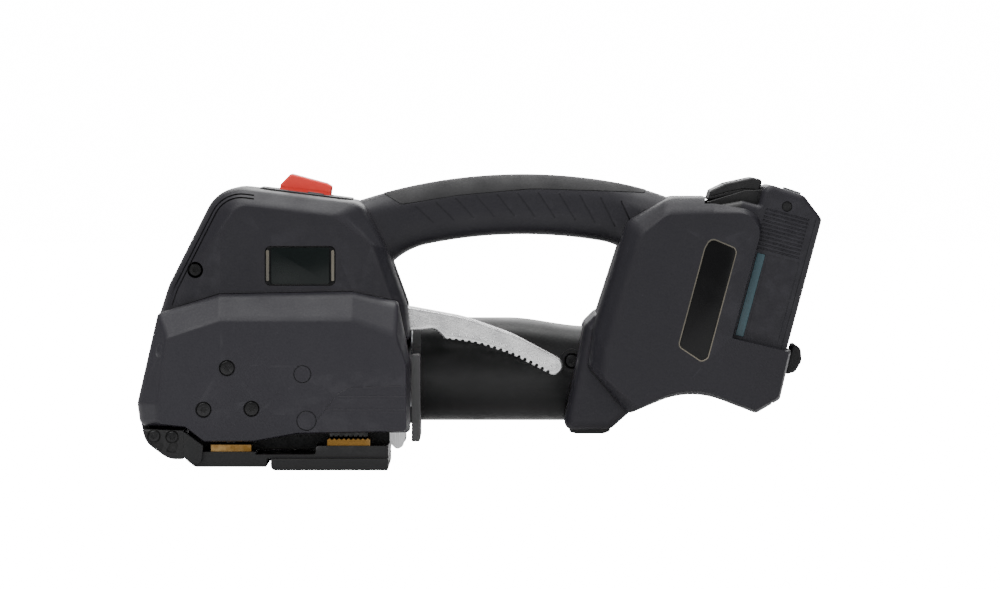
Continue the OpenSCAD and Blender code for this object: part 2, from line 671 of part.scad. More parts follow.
module planetary_gearbox() {
  color("#9a9ca0") translate([box_x[1], tube_y, tube_z]) rotate([0, 90, 0])
    difference() {
      cylinder(h = motor_x - box_x[1], d = motor_d);
      translate([0, 0, -1]) cylinder(h = 60, d = 10);
    }
}
motor_x = head_back + 3;
motor_l = grip_span - 46;
module motor_can() {
  color("#55575b") translate([motor_x, tube_y, tube_z]) rotate([0, 90, 0])
    difference() {
      cylinder(h = motor_l, d = motor_d);
      translate([0, 0, 2.4]) cylinder(h = motor_l - 4.8, d = motor_d - 6);
      translate([0, 0, -1]) cylinder(h = 10, d = 10);
    }
}
module bevel_pinion() {
  color("#b9bbc0") translate([drive[0], tube_y, tube_z]) rotate([0, 90, 0]) {
    translate([0, 0, 15]) cylinder(h = 7.4, d1 = 10, d2 = 14.6);
    translate([0, 0, 16]) cylinder(h = 28, d = 6);
  }
}
module motor_rotor() {
  color("#c2c4c8") translate([motor_x, tube_y, tube_z]) rotate([0, 90, 0]) {
    translate([0, 0, -14]) cylinder(h = motor_l + 8, d = 6);
    translate([0, 0, 4]) cylinder(h = motor_l - 8.4, d = motor_d - 8);
  }
}
tube_screw_at = [tube_x1 - 11, tube_z + 5];
tube_seat_y = tube_y - tube_d / 2 + 5;
module motor_tube() {
  color("#232325") difference() {
    union() {
      translate([head_back_low - 1.4, tube_y, tube_z]) rotate([0, 90, 0])
        difference() {
          cylinder(h = tube_x1 - head_back_low + 1.4, d = tube_d);
          translate([0, 0, -1]) cylinder(h = tube_x1 - head_back_low - 1.6, d = tube_d - 2 * tube_wall);
        }
      // boss inside the end wall for the screw from the strap side
      cross_bar(tube_screw_at, tube_seat_y - 3, tube_seat_y + 12, head_d + 5);
    }
    cross_bar(tube_screw_at, tube_y - tube_d / 2 - 2, tube_seat_y, head_d + 1);
    cross_bar(tube_screw_at, tube_seat_y - 1, tube_seat_y + 10, screw_d);
  }
}
module drive_shaft() {
  color("#c9cbcf") union() {
    cross_bar(drive, arm_y[0] - 0.4, tube_y - 6, shaft_d);
    cross_bar(drive, arm_y[0] - 1.6, arm_y[0] - 0.4, shaft_d + 4);
  }
}
module drive_gear() {
  color("#b9bbc0") spur_gear(drive, gear_y[0], gear_y[1], drive_teeth, gear_phase_a, shaft_d);
}
module bevel_gear() {
  color("#b9bbc0") translate([drive[0], tube_y - 8.6, drive[1]]) rotate([90, 0, 0])
    difference() {
      cylinder(h = 8, d1 = 24, d2 = 33);
      translate([0, 0, -1]) cylinder(h = 10, d = shaft_d);
    }
}
// Direction from the drive shaft to the wheel, and tooth phases that put the gears in mesh
mesh_a = atan2(wheel_c[1] - drive[1], wheel_c[0] - drive[0]);
gear_phase_a = mesh_a;
gear_phase_b = mesh_a + 180 + 180 / wheel_teeth;
module shaft_bearings() {
  color("#d0d2d6") translate([drive[0], frame_y0 + 7.4, drive[1]]) rotate([90, 0, 0])
    difference() {
      cylinder(h = 7, d = bearing_d);
      translate([0, 0, -1]) cylinder(h = 9, d = shaft_d + 2 * run_gap);
    }
}
module rocker_arm() {
  dir = unit(wheel_c - drive);
  side = 8 * [-dir[1], dir[0]];
  color("#6d6f74") difference() {
    union() {
      cross_bar(drive, arm_y[0], arm_y[1], 20);
      cross_bar(wheel_c, arm_y[0], arm_y[1], 17);
      cross_bar(release_pin, arm_y[0], arm_y[1], 7);
      cross_bar(release_pin, arm_y[0], lever_y, pin_d);
      side_plate(arm_y[0], arm_y[1]) polygon([drive + side, wheel_c + side, wheel_c - side, drive - side]);
      // tail that the lever presses down
      side_plate(arm_y[0], arm_y[1]) polygon([
        [drive[0] - 5, drive[1] + 8.6], [drive[0] + 4, drive[1] - 9],
        [release_pin[0] + 1.6, release_pin[1] - 3], [release_pin[0] - 1.4, release_pin[1] + 3.2]]);
    }
    cross_bar(drive, -80, 0, shaft_d + 2 * run_gap);
    cross_bar(wheel_c, -80, 0, 6 + 2 * run_gap);
  }
}
module tension_wheel() {
  n = 30;
  r = wheel_d / 2;
  color("#5c5e62") translate([wheel_c[0], wheel_y[1], wheel_c[1]]) rotate([90, 0, 0])
    difference() {
      linear_extrude(wheel_y[1] - wheel_y[0]) polygon([
        for (i = [0:n - 1]) each [
          r * [cos(360 * i / n), sin(360 * i / n)],
          r * [cos(360 * (i + 0.5) / n), sin(360 * (i + 0.5) / n)] * 0.965]]);
      translate([0, 0, -1]) cylinder(h = 40, d = 6);
    }
}
module wheel_shaft() {
  color("#c9cbcf") union() {
    cross_bar(wheel_c, wheel_y[0] - 0.4, gear_y[1] + 0.2, 6);
    cross_bar(wheel_c, wheel_y[0] - 1.8, wheel_y[0] - 0.4, 10);
  }
}
module wheel_gear() {
  color("#b9bbc0") spur_gear(wheel_c, gear_y[0], gear_y[1], wheel_teeth, gear_phase_b, 6);
}

// ---------- welding unit ----------
shoe_z = weld_anvil_top + 0.6;
module weld_shoe() {
  color("#8a8c90") difference() {
    union() {
      span_box([21, anvil_y - 7, shoe_z], [40.4, anvil_y + 7, shoe_z + 7]);
      span_box([weld_c[0] - 6.7, anvil_y - 7, shoe_z + 6], [weld_c[0] + 6.7, anvil_y + 7, shoe_z + 12]);
    }
    translate([weld_c[0], weld_c[1], shoe_z + 3]) cylinder(h = 20, d = 8.4);
    // grooves that grip the strap
    for (i = [0:6]) translate([22.6 + i * 2.5, anvil_y - 8, shoe_z - 1]) cube([0.8, 16, 1.6]);
  }
}
carriage_z = [shoe_z + 7.8, shoe_z + 21.8];
module weld_carriage() {
  color("#6d6f74") difference() {
    union() {
      span_box([19.4, anvil_y - 9.4, carriage_z[0]], [42, anvil_y + 9.4, carriage_z[0] + 14]);
      span_box([42 - eps, anvil_y - 9.4, carriage_z[0]], [42.1, anvil_y + 9.4, carriage_z[0] + 12]);
    }
    // guide slot of the shoe, along Y
    span_box([weld_c[0] - 6.7 - free_gap, anvil_y - 12, carriage_z[0] - 1],
             [weld_c[0] + 6.7 + free_gap, anvil_y + 12, shoe_z + 12 + free_gap]);
    translate([weld_c[0], weld_c[1], 20]) cylinder(h = 60, d = 12.4);
  }
}
module cutter_blade() {
  color("#dcdcdc") span_box([42.1, anvil_y - 9, shoe_z + 2], [43.9, anvil_y + 9, carriage_z[0] + 12]);
}
module eccentric_shaft() {
  color("#c9cbcf") translate([weld_c[0], weld_c[1], 0]) union() {
    translate([0, 0, 36]) cylinder(h = belt_z[1] - 35, d = 8);
    translate([0.8, 0, shoe_z + 6.8]) cylinder(h = 36 - shoe_z - 6.8 + eps, d = 4);
    translate([0, 0, belt_z[0]]) cylinder(h = belt_z[1] - belt_z[0], r = pulley_r);
    translate([0, 0, belt_z[1] - eps]) cylinder(h = 1.2, r = flange_r);
    translate([0, 0, belt_z[0] - 1.2]) cylinder(h = 1.2 + eps, r = flange_r);
  }
}
module weld_rotor() {
  color("#c2c4c8") translate([weld_motor_c[0], weld_motor_c[1], 0]) union() {
    translate([0, 0, belt_z[0] - 1]) cylinder(h = weld_motor_z[1] - belt_z[0] - 4, d = 5);
    translate([0, 0, belt_z[0]]) cylinder(h = belt_z[1] - belt_z[0], r = pulley_r);
    translate([0, 0, weld_motor_z[0] + 4])
      cylinder(h = weld_motor_z[1] - weld_motor_z[0] - 9, d = weld_motor_d - 9);
  }
}
module weld_motor_can() {
  color("#55575b") translate([weld_motor_c[0], weld_motor_c[1], weld_motor_z[0]])
    difference() {
      cylinder(h = weld_motor_z[1] - weld_motor_z[0], d = weld_motor_d);
      translate([0, 0, 2]) cylinder(h = weld_motor_z[1] - weld_motor_z[0] - 4, d = weld_motor_d - 6);
      translate([0, 0, -1]) cylinder(h = 5, d = 9);
    }
}
module weld_motor_room() {
  translate([weld_motor_c[0], weld_motor_c[1], weld_motor_z[0] - 8])
    cylinder(h = weld_motor_z[1] - weld_motor_z[0] + 8.4, d = weld_motor_d + 1);
}
module weld_motor_bracket() {
  z0 = weld_motor_z[0] - 1.6;
  color("#8d8f93") difference() {
    union() {
      translate([weld_motor_c[0], weld_motor_c[1], z0]) cylinder(h = 1.6, d = weld_motor_d + 6);
      span_box([-18, frame_y0 + 0.2, z0], [28, weld_motor_c[1], z0 + 1.6]);
    }
    translate([weld_motor_c[0], weld_motor_c[1], z0 - 1]) cylinder(h = 5, d = 2 * pulley_r + 1);
  }
}
// Flat belt round the two pulleys
module weld_belt() {
  d = [weld_c[0] - weld_motor_c[0], weld_c[1] - weld_motor_c[1]];
  a = atan2(d[1], d[0]);
  r = pulley_r + 0.15;
  t = 1.2;
  color("#1c1c1c") translate([weld_motor_c[0], weld_motor_c[1], belt_z[0] + 0.3]) rotate([0, 0, a])
    linear_extrude(belt_z[1] - belt_z[0] - 0.6) difference() {
      union() {
        circle(r = r + t);
        translate([norm(d), 0]) circle(r = r + t);
        translate([0, -r - t]) square([norm(d), 2 * (r + t)]);
      }
      union() {
        circle(r = r);
        translate([norm(d), 0]) circle(r = r);
        translate([0, -r]) square([norm(d), 2 * r]);
      }
    }
}

// ---------- lever ----------
lever_tip = head_back + grip_span * 0.856;
lever_shape = [
  [head_back - 20, 77, 1], [head_back - 15, 69, 3], [head_back + 1.6, 70.2, 3], [head_back + 12, 71.4, 5],
  [head_back + 17.6, 66, 3],
  [head_back + 35, 63.4, 60], [head_back + grip_span * 0.564, 57.4, 60], [lever_tip - 4.6, 45.8, 4.6],
  [lever_tip - 0.2, 54, 4.6], [head_back + grip_span * 0.564, 68.4, 80], [head_back + 28, 77.4, 80],
  [head_back, 82.6, 40], [head_back - 18, 84, 5]
];
module lever() {
  y0 = lever_y - lever_w / 2;
  y1 = lever_y + lever_w / 2;
  color("#cfd0d2") difference() {
    union() {
      side_plate(y0, y1) polygon(rounded(lever_shape));
      cross_bar(lever_c, y0, y1, 18);
      // short arm that presses the rocker's tail down
      side_plate(y0, lever_y - 2) translate(lever_c)
        polygon(rounded([[-14.5, -3.1, 1], [0, -3.1, 1], [0, 7, 2], [-14.5, 2, 2]]));
    }
    cross_bar(lever_c, y0 - 1, y1 + 1, lever_pin_d + 2 * run_gap);
    // hollow underside of the casting at the root
    span_box([head_back + 3, y0 + 3, 60], [head_back + 14, y1 - 3, 73]);
  }
}
module lever_pin() {
  color("#b9bbc0") cross_bar(lever_c, frame_y0, lever_y + lever_w / 2 + 6, lever_pin_d);
}
module lever_spring() {
  y = frame_y1 + 0.4;
  color("#9da0a5") translate([lever_c[0], y + 0.6, lever_c[1]]) rotate([90, 0, 0])
    rotate_extrude() translate([lever_pin_d / 2 + 1.1, 0]) circle(d = 1.1, $fn = 24);
}

// ---------- controls on the head ----------
key_x = 5;
key_y = 19;
panel_l = 48;
panel_w = 56;
panel_t = 2;
module control_panel() {
  color("#303034") on_top() difference() {
    translate([0, 0, -panel_t]) linear_extrude(panel_t + 0.6)
      polygon(rounded([[-panel_l / 2, -panel_w / 2, 7], [panel_l / 2, -panel_w / 2, 7],
                       [panel_l / 2, panel_w / 2, 7], [-panel_l / 2, panel_w / 2, 7]]));
    translate([-1, 0, -5]) linear_extrude(10) square([28.4, 21], center = true);
    translate([-19.5, 0, 0.2]) linear_extrude(10) square([7, 24.4], center = true);
    for (s = [-1, 1]) translate([key_x, s * key_y, -5]) cylinder(h = 10, d = 9);
  }
}
module display_lens() {
  color("#101418") on_top() translate([-19.5, 0, 0.2]) linear_extrude(0.5) square([6.8, 24.2], center = true);
}
module trigger_button() {
  color("#e8382c") on_top() difference() {
    union() {
      side_plate(-10, 10) polygon(rounded([
        [-14.4, -1.6, 0.4], [12.6, -1.6, 0.4], [12.6, 5.6, 1.2], [10, 6.6, 1.5], [-9.8, 9.4, 1.5],
        [-14, 3, 0.8]]));
      translate([-1, 0, -6]) cylinder(h = 6, d = 6);
    }
    for (i = [0:3]) span_box([-3 + i * 3.4, -11, 9.3 - i * 0.45], [-2 + i * 3.4, 11, 12]);
  }
}
module key(s) {
  on_top() translate([key_x, s * key_y, -1.4]) union() {
    cylinder(h = 2.6, d = 8.4);
    translate([0, 0, -1.4]) cylinder(h = 2, d = 3);
  }
}
module mode_key() {
  color("#6b6d72") key(-1);
}
module force_key() {
  color("#6b6d72") key(1);
}
module trigger_switch() {
  color("#1f1f22") on_top() difference() {
    translate([-1, 0, -11]) linear_extrude(1.5) square([34, 48], center = true);
    translate([weld_motor_c[0] - panel_c[0], weld_motor_c[1], -30]) cylinder(h = 15, d = 2);
  }
  color("#1f1f22") on_top() translate([-9.4, 0, -9.5]) linear_extrude(1) square([8, 10], center = true);
}

// ---------- inlays and badges ----------
// Glossy plates let into the flanks: a badge window on the head and a leaning strip at the rear
module side_inlays() {
  t = inlay_depth - 0.05;
  color("#12171b") for (s = [-1, 1]) {
    flank_plate(s, head_half_w - inlay_depth, t + 0.15) badge_outline();
    flank_plate(s, rear_half_w - inlay_depth, t) inlay_outline();
  }
}
// Plate of thickness t whose inner face lies y0 from the middle plane, on side s
module flank_plate(s, y0, t) {
  side_plate(s < 0 ? -y0 - 0.05 - t : y0 + 0.05, s < 0 ? -y0 - 0.05 : y0 + 0.05 + t) children();
}

// ---------- rear ----------
foot_x = bay_x - 74;
module foot_pocket() {
  span_box([foot_x - 11, -20, 10], [foot_x + 11, 20, 20.6]);
}
module rear_foot() {
  color("#1b1b1d") difference() {
    side_plate(-19.6, 19.6) polygon(rounded([
      [foot_x - 10.6, 18, 2], [foot_x - 6, 17.2, 3], [foot_x + 6, 17.2, 3], [foot_x + 10.6, 18.4, 2],
      [foot_x + 10.6, 20.4, 0.4], [foot_x - 10.6, 20.4, 0.4]]));
    for (s = [-1, 1]) translate([foot_x, s * 11, 10]) cylinder(h = 20, d = 4.4);
  }
}
module rear_bumper() {
  color("#1b1b1d") in_bay() side_plate(-14, 14) polygon(rounded([
    [31.6, -12.4, 1], [37, -7.6, 4], [37.8, -0.6, 4], [31, 3.6, 2], [31, -6, 0.3]]));
}
module control_board() {
  color("#2c5a3a") in_bay() translate([battery_u0 - bay_gap - shell_wall - 16, -26, -8]) cube([1.6, 52, 60]);
}
module battery_terminals() {
  color("#d0a85a") in_bay() for (y = [-18, -6, 6, 18])
    translate([battery_u0 + 4, y - 0.6, -battery_sunk - bay_gap]) cube([6, 1.2, 9]);
}
// Battery outline in the leaning frame
battery_shape = [
  [battery_u0, -battery_sunk, 2], [battery_u1, -battery_sunk, 2], [battery_u1, step_w + 1.4, 3],
  [16, step_w + 10.7, 5],
  [-5.4, step_w + 12, 5], [-5.4, step_w, 1], [split_u, step_w, 3], [battery_u0, step_w - 8.6, 2]
];
module battery_body(d = 0) {
  w = battery_w / 2;
  in_bay() loft([
    [-w + d, inset(battery_shape, d + 2)], [-w + 2 + d, inset(battery_shape, d)],
    [w - 2 - d, inset(battery_shape, d)], [w - d, inset(battery_shape, d + 2)]
  ]);
}
module battery_case() {
  color("#38373c") moulded() difference() {
    battery_body();
    battery_body(2);
    in_bay() span_box([-60, -60, -60], [split_u, 60, 120]);
    battery_side_cuts();
  }
}
module battery_side_cuts() {
  w = battery_w / 2;
  in_bay() for (s = [-1, 1]) {
    translate([8.8, s * w, 71.7]) rotate([90, 0, 0]) cylinder(h = 7, d = 5.4, center = true);
    // seat of the coloured stripe
    translate([0.2, s < 0 ? -w - 0.3 : w - 0.9, 1]) cube([4.4, 1.2, 44]);
    for (i = [0:7]) translate([7, s * w - 0.5, 48 + i * 2.6]) cube([15, 1, 1.2]);
  }
}
module battery_rail_cover() {
  color("#2e2e32") moulded() difference() {
    battery_body();
    battery_body(2.2);
    in_bay() span_box([split_u, -60, -60], [60, 60, 120]);
    // rails that slide in the housing
    in_bay() for (s = [-1, 1])
      translate([rail_u - 2.5, s * battery_w / 2 - 3.5, -battery_sunk - 2]) cube([5, 7, rail_l + 4]);
    // slots over the terminals
    in_bay() for (y = [-18, -6, 6, 18])
      translate([battery_u0 + 3, y - 1.2, -battery_sunk - 2]) cube([8, 2.4, 12]);
  }
}
module battery_cells() {
  color("#3f7f95") in_bay() for (u = cell_u) for (i = [0:4])
    translate([u, 0, cell_d / 2 - battery_sunk + 2.2 + i * cell_pitch]) rotate([90, 0, 0])
      cylinder(h = cell_l, d = cell_d, center = true);
}
module battery_stripes() {
  w = battery_w / 2;
  color("#3f7080") in_bay() for (s = [-1, 1])
    translate([0.3, s < 0 ? -w - 0.1 : w - 0.7, 1.1]) cube([4.2, 0.8, 43.8]);
}
module battery_screws() {
  w = battery_w / 2;
  color("#8f9196") in_bay() for (s = [-1, 1]) for (h = [-14, 60])
    translate([split_u - 1.8, s * (w - 11.3), h]) rotate([0, -90, 0]) cylinder(h = 2, d = 5);
}
module battery_latch() {
  color("#4a4a4e") in_bay() difference() {
    side_plate(-24, 24) polygon(rounded([
      [battery_u0 + 1, step_w - 8.4 + latch_gap, 1], [split_u - 0.4, step_w + latch_gap, 3],
      [-6.2, step_w + latch_gap, 0.6], [-6.2, step_w + 13.2, 2], [-11.5, step_w + 13, 5],
      [-24.3, step_w + 6.4, 5], [battery_u0 + 1.2, step_w + 0.8, 2]]));
    // finger grooves across the slope
    for (i = [0:8]) translate([-23.6 + i * 1.4, -18, step_w + 6.1 + i * 0.74]) cube([0.6, 36, 6]);
  }
}

// ---------- screws as groups ----------
module shell_screws() {
  h = 2.6;
  color("#26262a") {
    for (p = shell_screw_at) {
      s = p[2] < 0 ? -1 : 1;
      difference() {
        union() {
          cross_bar(p, min(p[2], p[2] + s * h) + 0.02, max(p[2], p[2] + s * h), head_d);
          screw_shank(p, screw_d);
        }
        cross_bar(p, min(p[2] + s, p[2] + s * 4), max(p[2] + s, p[2] + s * 4), 3);
      }
    }
    // screw that ties the tube to the housing behind it
    difference() {
      union() {
        cross_bar(tube_screw_at, tube_seat_y - h, tube_seat_y - 0.02, head_d);
        cross_bar(tube_screw_at, tube_seat_y - 0.1, tube_seat_y + 10, screw_d);
      }
      cross_bar(tube_screw_at, tube_seat_y - 4, tube_seat_y - 1, 3);
    }
  }
}
module cover_screws() {
  color("#26262a") for (s = [-1, 1]) for (p = cover_screw_at) {
    f = s < 0 ? cover_left_y : cover_right_y;
    difference() {
      union() {
        cross_bar(p, s < 0 ? -f + 0.1 : f - 1.58, s < 0 ? -f + 1.58 : f - 0.1, head_d);
        cross_bar(p, s < 0 ? -f + 1.5 : f - 14, s < 0 ? left_screw_end : f - 1.5, screw_d);
      }
      translate([p[0], s * f, p[1]]) rotate([90, 0, 0]) cylinder(h = 2.4, d = 2.6, $fn = 6, center = true);
    }
  }
}
module nose_screws() {
  y = cover_left_y - 2;
  color("#3c3c40") for (p = nose_screw_at) difference() {
    union() {
      cross_bar(p, -y - 1.4, -y, 6);
      cross_bar(p, -y - 0.1, -y + 14, screw_d);
    }
    translate([p[0], -y - 1.4, p[1]]) rotate([90, 0, 0]) cylinder(h = 1.8, d = 2.8, $fn = 6, center = true);
  }
}
module base_screws() {
  color("#8f9196") for (p = base_screw_at) {
    z0 = p[0] > -11 ? 0.9 : 2.2;
    difference() {
      union() {
        translate([p[0], p[1], z0]) cylinder(h = 2.4, d = head_d);
        translate([p[0], p[1], z0 + 2.3]) cylinder(h = 12, d = screw_d - 0.02);
      }
      translate([p[0], p[1], z0 - 1]) cylinder(h = 2, d = 3, $fn = 6);
    }
  }
}

base_plate();
sole_plate();
tension_anvil();
weld_anvil();
main_frame();
front_cover();
motor_flange();
strap_guide();
bevel_box();
planetary_gearbox();
motor_can();
motor_tube();
weld_motor_can();
weld_motor_bracket();
weld_belt();
left_shell();
right_shell();
left_cover();
right_cover();
handle_pad();
control_panel();
display_lens();
side_inlays();
trigger_switch();
control_board();
battery_terminals();
rear_foot();
shell_screws();
cover_screws();
nose_screws();
base_screws();
cover_plugs();
rear_bumper();
lever_pin();
lever_spring();
shaft_bearings();
lever();
rocker_arm();
drive_shaft();
drive_gear();
bevel_gear();
bevel_pinion();
tension_wheel();
wheel_shaft();
wheel_gear();
motor_rotor();
weld_carriage();
cutter_blade();
weld_shoe();
eccentric_shaft();
weld_rotor();
trigger_button();
mode_key();
force_key();
battery_case();
battery_rail_cover();
battery_cells();
battery_stripes();
battery_screws();
battery_latch();
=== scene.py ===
import math
import bpy
import bmesh
from mathutils import Matrix, Vector


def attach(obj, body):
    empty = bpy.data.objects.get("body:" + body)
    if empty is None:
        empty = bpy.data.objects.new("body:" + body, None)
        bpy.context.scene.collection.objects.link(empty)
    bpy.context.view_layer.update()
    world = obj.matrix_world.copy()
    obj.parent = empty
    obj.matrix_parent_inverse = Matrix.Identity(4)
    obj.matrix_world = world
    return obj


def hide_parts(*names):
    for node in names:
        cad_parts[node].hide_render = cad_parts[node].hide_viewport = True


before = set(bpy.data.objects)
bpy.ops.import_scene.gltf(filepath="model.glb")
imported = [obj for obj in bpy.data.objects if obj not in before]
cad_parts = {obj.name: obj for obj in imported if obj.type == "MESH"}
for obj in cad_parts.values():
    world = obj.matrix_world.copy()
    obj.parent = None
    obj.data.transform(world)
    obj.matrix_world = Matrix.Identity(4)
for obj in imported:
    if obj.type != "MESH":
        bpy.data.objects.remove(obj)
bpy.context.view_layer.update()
print("frame loaded:", len(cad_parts), "nodes")

mm = 0.001
lean = math.radians(15)
bayX, bayZ = 228.6, 67.7
headBack = 62
tubeY, tubeZ = 28.1, 48.7
seamY = 41
topTilt = math.radians(7.2)
panelX, panelZ = 8, 141
sharpAngle = math.radians(32)
leastRadius = 0.25

# outlines: corners are (X, Z, radius) in mm


def bay(u, w):
    return (bayX + u * math.cos(lean) + w * math.sin(lean), bayZ - u * math.sin(lean) + w * math.cos(lean))


def atBay(u, w, r):
    x, z = bay(u, w)
    return (x, z, r)


headOuter = [(-71.5, 66, 2), (62.4, 66, 2), (60.5, 84, 3), (50, 113, 8), (38, 137, 10), (-36, 146.3, 20),
             (-62.5, 94, 30)]
headFace = [(-38.3, 66, 2), (58, 66, 2), (54, 84, 3), (43.3, 115, 6), (24.4, 130.5, 7), (-27, 136.8, 9),
            (-38.3, 119, 6)]
coverOuter = [(-76.2, 22.5, 4), (-53, 21.3, 2), (-43.5, 13.8, 3), (-17.5, 14, 3), (4.5, 18, 3), (62.2, 19, 2),
              (62.2, 56, 5), (56, 86.3, 3), (32.4, 91.3, 4), (-35.6, 90, 4), (-67.2, 80, 3), (-77.77, 34, 8)]
coverFace = [(-66, 24, 3), (-52.6, 22.6, 2), (-43, 15.2, 3), (-17.5, 15.4, 3), (4.5, 19.4, 3),
             (60.4, 20.4, 2), (60.2, 54, 5), (55, 68.5, 4), (32.4, 77, 5), (-35.3, 77, 5), (-62.6, 68, 4),
             (-67, 34, 6)]
rearOuter = [(bayX - 54.6, 27.5, 4), (bayX - 22.6, 41, 60), (bayX + 11.4, 28, 3), atBay(31.4, -25.2, 3),
             atBay(30.5, 0.9, 1.6), atBay(0, 0, 1), atBay(0, 66.5, 11.4), (bayX - 10, 139.5, 8),
             (bayX - 33, 139.5, 14), (bayX - 55, 127, 9), (bayX - 72.8, 72, 6), (bayX - 75.6, 52, 6)]
rearFace = [(bayX - 49.6, 31, 4), (bayX - 22.6, 43, 60), (bayX + 10.9, 30, 3), atBay(30, -24, 3),
            atBay(29.1, 0, 1.6), atBay(-1, -0.9, 1), atBay(-0.8, 65.6, 10.8), (bayX - 11, 132, 9),
            (bayX - 34.6, 131.4, 9), (bayX - 47.6, 121.4, 9), (bayX - 66, 60, 8), (bayX - 67, 47, 6)]
webOuter = [(bayX - 88, 19.2, 4), (bayX - 63, 19.8, 4), (bayX - 51, 30.5, 3), (bayX - 44, 60, 4),
            (bayX - 68, 82, 6), (bayX - 77, 73, 6)]


def unit(x, z):
    n = math.hypot(x, z) or 1
    return x / n, z / n


def rounded(corners, steps=9):
    out = []
    k = len(corners)
    for i, (x, z, r) in enumerate(corners):
        p0, p2 = corners[i - 1], corners[(i + 1) % k]
        ax, az = unit(p0[0] - x, p0[1] - z)
        bx, bz = unit(p2[0] - x, p2[1] - z)
        half = math.acos(max(-1, min(1, ax * bx + az * bz))) / 2
        room = 0.49 * min(math.hypot(p0[0] - x, p0[1] - z), math.hypot(p2[0] - x, p2[1] - z))
        reach = min(r / math.tan(half), room)
        radius = reach * math.tan(half)
        mx, mz = unit(ax + bx, az + bz)
        cx, cz = x + mx * radius / math.sin(half), z + mz * radius / math.sin(half)
        sx, sz = x + ax * reach - cx, z + az * reach - cz
        ex, ez = x + bx * reach - cx, z + bz * reach - cz
        sweep = math.atan2(sx * ez - sz * ex, sx * ex + sz * ez)
        for j in range(steps + 1):
            t = sweep * j / steps
            out.append((cx + sx * math.cos(t) - sz * math.sin(t), cz + sx * math.sin(t) + sz * math.cos(t)))
    return out


def inset(corners, d):
    out = []
    k = len(corners)
    for i, (x, z, r) in enumerate(corners):
        p0, p2 = corners[i - 1], corners[(i + 1) % k]
        ax, az = unit(x - p0[0], z - p0[1])
        bx, bz = unit(p2[0] - x, p2[1] - z)
        n1, n2 = (-az, ax), (-bz, bx)
        scale = d / (1 + n1[0] * n2[0] + n1[1] * n2[1])
        turn = ax * bz - az * bx
        out.append((x + scale * (n1[0] + n2[0]), z + scale * (n1[1] + n2[1]),
                    max(leastRadius, r + (-d if turn > 0 else d))))
    return out


def between(a, b, t):
    # outline a share t of the way from outline a to outline b
    mixed = [tuple(p + (q - p) * t for p, q in zip(c, d)) for c, d in zip(a, b)]
    return [(x, z, max(leastRadius, r)) for x, z, r in mixed]


def softPath(points, cuts, steps=5):
    # rounds the inner corners of a short open path
    out = [points[0]]
    for i in range(1, len(points) - 1):
        (ax, ay), (bx, by), (cx, cy) = points[i - 1], points[i], points[i + 1]
        before, after = cuts[i - 1]
        s = (bx + (ax - bx) * before, by + (ay - by) * before)
        e = (bx + (cx - bx) * after, by + (cy - by) * after)
        for j in range(steps + 1):
            t = j / steps
            out.append(tuple((1 - t) ** 2 * s[k] + 2 * t * (1 - t) * (bx, by)[k] + t * t * e[k]
                             for k in (0, 1)))
    out.append(points[-1])
    return out


# meshes


def newObject(name, data):
    obj = bpy.data.objects.new(name, data)
    bpy.context.scene.collection.objects.link(obj)
    return obj


def across(side, a, b):
    # two distances from the middle as a low and a high Y
    return sorted((side * a, side * b))


def circle(count):
    return [2 * math.pi * i / count for i in range(count)]


def fromBmesh(name, bm):
    bmesh.ops.recalc_face_normals(bm, faces=bm.faces)
    mesh = bpy.data.meshes.new(name)
    bm.to_mesh(mesh)
    bm.free()
    return newObject(name, mesh)


def loft(name, rings):
    # rings of world points in mm, closed at both ends
    bm = bmesh.new()
    rows = [[bm.verts.new(Vector(p) * mm) for p in ring] for ring in rings]
    n = len(rows[0])
    for a, b in zip(rows, rows[1:]):
        for j in range(n):
            bm.faces.new((a[j], a[(j + 1) % n], b[(j + 1) % n], b[j]))
    bm.faces.new(rows[0][::-1])
    bm.faces.new(rows[-1])
    return fromBmesh(name, bm)


def ringsOf(sections, steps=9):
    return [[(x, y, z) for x, z in rounded(c, steps)] for y, c in sections]


def plate(name, corners, y0, y1, steps=9):
    return loft(name, ringsOf([(y0, corners), (y1, corners)], steps))


def softPlate(name, corners, y0, y1, edge, steps=9, soft=4):
    # plate with rolled edges on both faces
    rows = []
    for i in range(soft + 1):
        a = math.pi / 2 * i / soft
        rows.append((y0 + edge * (1 - math.cos(a)), inset(corners, edge * (1 - math.sin(a)))))
    rows += [(y0 + y1 - y, c) for y, c in rows[::-1]]
    return loft(name, ringsOf(rows, steps))


def bar(name, start, end, r, seg=48):
    a, b = Vector(start), Vector(end)
    long = (b - a).length
    bm = bmesh.new()
    bmesh.ops.create_cone(bm, cap_ends=True, segments=seg, radius1=r * mm, radius2=r * mm, depth=long * mm)
    turn = (b - a).to_track_quat("Z", "Y").to_matrix().to_4x4()
    bmesh.ops.transform(bm, matrix=Matrix.Translation((a + b) / 2 * mm) @ turn, verts=bm.verts)
    return fromBmesh(name, bm)


def barY(name, x, z, y0, y1, r, seg=48):
    return bar(name, (x, y0, z), (x, y1, z), r, seg=seg)


def block(name, lo, hi, turn=None):
    bm = bmesh.new()
    bmesh.ops.create_cube(bm, size=1)
    for v in bm.verts:
        p = Vector([lo[k] + (v.co[k] + 0.5) * (hi[k] - lo[k]) for k in range(3)])
        v.co = (turn @ p if turn else p) * mm
    return fromBmesh(name, bm)


def ball(name, centre, radii, around, rows, tilt=0.0):
    bm = bmesh.new()
    bmesh.ops.create_uvsphere(bm, u_segments=around, v_segments=rows, radius=1)
    bmesh.ops.scale(bm, vec=Vector(radii) * mm, verts=bm.verts)
    bmesh.ops.rotate(bm, matrix=Matrix.Rotation(math.radians(tilt), 3, "Y"), verts=bm.verts)
    bmesh.ops.translate(bm, vec=Vector(centre) * mm, verts=bm.verts)
    return fromBmesh(name, bm)


